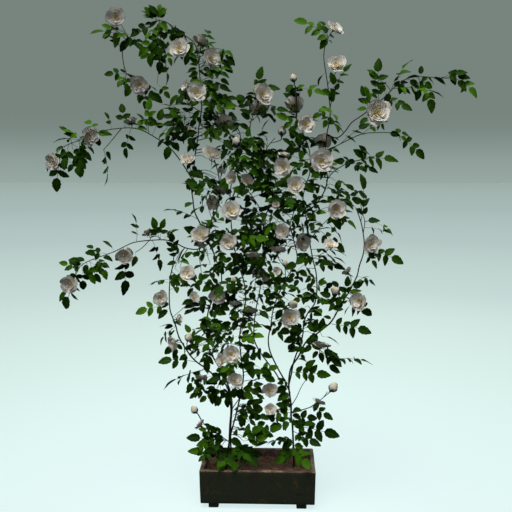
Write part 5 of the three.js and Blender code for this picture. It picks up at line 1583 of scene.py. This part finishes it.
# %% [markdown]
# A leaf runs from its foot to its tip and turns its face the way it is held, as far as that goes. It sways
# a little to either side, and less where its edge has to be seen. A leaf that would hang in front of a bloom
# has its tip moved back.

# %% Helper: a leaf
SWAY, EDGE_SWAY = 0.45, 0.2
IN_FRONT, BEHIND = 30, 70


def grow_leaf(leaves, foot, tip, held, chance_of, pairs):
    along = (tip - foot).normalized()
    face = Vector(held)
    face = (face - face.dot(along) * along).normalized()
    sway = EDGE_SWAY if held is EDGE else SWAY
    face = Quaternion(along, chance_of.uniform(-sway, sway)) @ face
    across = face.cross(along)
    turn = Matrix((along, across, face)).transposed().to_4x4()
    size = Matrix.Scale((tip - foot).length, 4)
    shape = chance_of.choice(LEAVES[pairs])
    add_copy(leaves, shape, Matrix.Translation(foot) @ turn @ size, chance_of.uniform(0.0, 0.9))


def tuck_behind_blooms(foot, tip):
    """Moves the tip of a leaf back where the leaf would hang in front of a bloom."""
    for x, y, z, width, *_ in ALL_FLOWERS:
        for share in (0.45, 0.75, 1.0):
            spot = foot.lerp(tip, share)
            if math.hypot(spot.x - x, spot.z - z) < 0.5 * width and spot.y < y + IN_FRONT:
                tip.y = max(tip.y, y + BEHIND)


# %% [markdown]
# A leaf of the table may start away from the cane. It is then carried by a thin side shoot that arches over
# to it. The longer a leaf is, the more pairs of leaflets it has, and the shortest are a single leaflet.

# %% Helper: the leaves of the table
SHOOT_GAP, SHOOT_ARCH, SHOOT_TIP, SHOOT_SIDES, SHOOT_TONES = 22, 0.14, 0.9, 5, (0.6, 1.0)
# Longest leaf that still has no pair, one pair and two pairs of leaflets beside the one at its end
NO_PAIR, ONE_PAIR, TWO_PAIRS = 78, 125, 172


def grow_table_leaves(wood, leaves, samples, rows, chance_of):
    for x, z, *place, held in rows:
        foot = nearest(samples, lambda p: (p.x - x) ** 2 + (p.z - z) ** 2)
        tip = Vector(place)
        if math.hypot(foot.x - x, foot.z - z) > SHOOT_GAP:
            wanted = Vector((x, (foot.y + tip.y) / 2, z))
            gap = (wanted - foot).length
            arch = foot.lerp(wanted, 0.45) + Vector((0, 0, SHOOT_ARCH * gap))
            shoot = smooth_path([foot, arch, wanted], 16)
            add_bar(wood, shoot, 1.1 + gap / 150, SHOOT_TIP, SHOOT_SIDES, SHOOT_TONES)
            foot = wanted
        tuck_behind_blooms(foot, tip)
        length = (tip - foot).length
        pairs = sum(length > limit for limit in (NO_PAIR, ONE_PAIR, TWO_PAIRS))
        grow_leaf(leaves, foot, tip, held, chance_of, pairs)


# %% [markdown]
# ## Leafy side shoots
# In the dense middle a cane carries a leaf every few centimetres, and now and then a short side shoot with
# leaves of its own. Buds sit round a cane by the golden angle, so each leaf or shoot is turned by that
# angle from the last one. A leaf whose tip would touch a bloom is left out, as a gardener would pick it off.

# %% Helper: leaves and side shoots along a cane
DEEPEST, LOWEST, CLEAR_OF_BLOOM = 200, 150, 42
LEAF_LENGTHS, SHOOT_LENGTHS, SHOOT_LEAF_LENGTHS = (115, 185), (60, 130), (90, 150)
# The leaves of a side shoot: how far along it each one springs, and how it leans from it
SHOOT_LEAVES = (0.4, 1.1), (0.65, -1.0), (0.9, 0.9), (1.0, -0.2)


def add_free_leaf(leaves, foot, tip, chance_of):
    tuck_behind_blooms(foot, tip)
    tip.y = max(-DEEPEST, min(DEEPEST, tip.y))
    tip.z = max(LOWEST, tip.z)
    if all((tip - Vector(flower[:3])).length > CLEAR_OF_BLOOM for flower in ALL_FLOWERS):
        held = (chance_of.uniform(-0.4, 0.4), chance_of.uniform(-0.9, 0.0), 0.7)
        grow_leaf(leaves, foot, tip, held, chance_of, chance_of.choice((1, 2, 2, 3)))


def fill_cane(wood, leaves, path, spacing, low, high, chance_of):
    """Grows a leaf, or a side shoot with four leaves, at even steps along a path between two heights."""
    made, travelled, first_turn = 0, 0.0, chance_of.uniform(0, math.tau)
    for before, point in zip(path, path[1:]):
        travelled += (point - before).length if low < point.z < high else 0
        if travelled < spacing * (made + 0.6):
            continue
        turn = first_turn + made * GOLDEN_TURN
        made += 1
        out = Vector((math.cos(turn), 0.5 * math.sin(turn), chance_of.uniform(-0.3, 0.5))).normalized()
        if made % 3:
            add_free_leaf(leaves, point, point + chance_of.uniform(*LEAF_LENGTHS) * out, chance_of)
            continue
        length = chance_of.uniform(*SHOOT_LENGTHS)
        shoot = [point, point + 0.5 * length * out + Vector((0, 0, 8)), point + length * out]
        add_bar(wood, smooth_path(shoot, 20), 1.4, SHOOT_TIP, SHOOT_SIDES, SHOOT_TONES)
        for share, lean in SHOOT_LEAVES:
            heading = Quaternion((0, -1, 0.2), lean * chance_of.uniform(0.7, 1.2)) @ out
            foot = point.lerp(shoot[-1], share)
            add_free_leaf(leaves, foot, foot + chance_of.uniform(*SHOOT_LEAF_LENGTHS) * heading, chance_of)


# %% [markdown]
# ## The whole plant
# One loop grows all stems. Each gives its wood and its leaves, and its flowers where it has any. The wood
# and the leaves stand for the stem's solid, and the flowers for the solids of its larger blooms, which
# are numbered through the whole table.

# %% Stems, leaves and flowers
OWN_SOLID_DIAMETER = 68
# Where a cane is in the dense middle: the spacing of its leaves, and the heights between which they grow
DENSE = {
    "left_inner_cane": (66, 900, 1180),
    "upper_left_cane": (70, 1480, 1700),
    "left_front_cane": (27, 560, 1560),
    "right_centre_cane": (48, 1130, 1340),
    "right_inner_cane": (30, 1100, 1400),
    "right_back_cane": (26, 735, 1400),
    "tall_right_cane": (80, 1300, 1500),
    "centre_top_cane": (34, 1200, 1600),
}

bloom_count = 0
for number, (name, stem) in enumerate(STEMS.items()):
    chance_of = random.Random(100 + number)
    wood, leaves, petals = bmesh.new(), new_shape(), new_shape()
    paths = grow_canes(wood, stem["canes"], chance_of)
    samples = [point for path in paths for point in path[1:]]
    solids = []
    for flower in stem["blooms"]:
        grow_flower(wood, petals, samples, flower, False, chance_of)
        if flower[3] >= OWN_SOLID_DIAMETER:
            bloom_count += 1
            solids.append(f"bloom_{bloom_count:02d}")
    for flower in stem["buds"]:
        grow_flower(wood, petals, samples, flower, True, chance_of)
    grow_table_leaves(wood, leaves, samples, stem["leaves"], chance_of)
    if name in DENSE:
        fill_cane(wood, leaves, paths[0], *DENSE[name], chance_of)
    make_piece(f"{name}_wood", wood, [bark], "stem", name)
    make_piece(f"{name}_leaves", leaves, [leaf_finish], "stem", name)
    if stem["blooms"] or stem["buds"]:
        make_piece(f"{name}_flowers", petals, [petal_finish, pollen], "petal", *solids)
print("solid blooms dressed:", bloom_count)

# %% [markdown]
# ## Sizes
# The dressed rose has to keep the size of its frame. Both boxes are printed, axis by axis.

# %% The two boxes, axis by axis
seen_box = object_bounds()
for axis, cad_low, cad_high, low, high in zip("xyz", *cad_box, *seen_box):
    print(axis, [round(value, 3) for value in (cad_low, cad_high, low, high)])
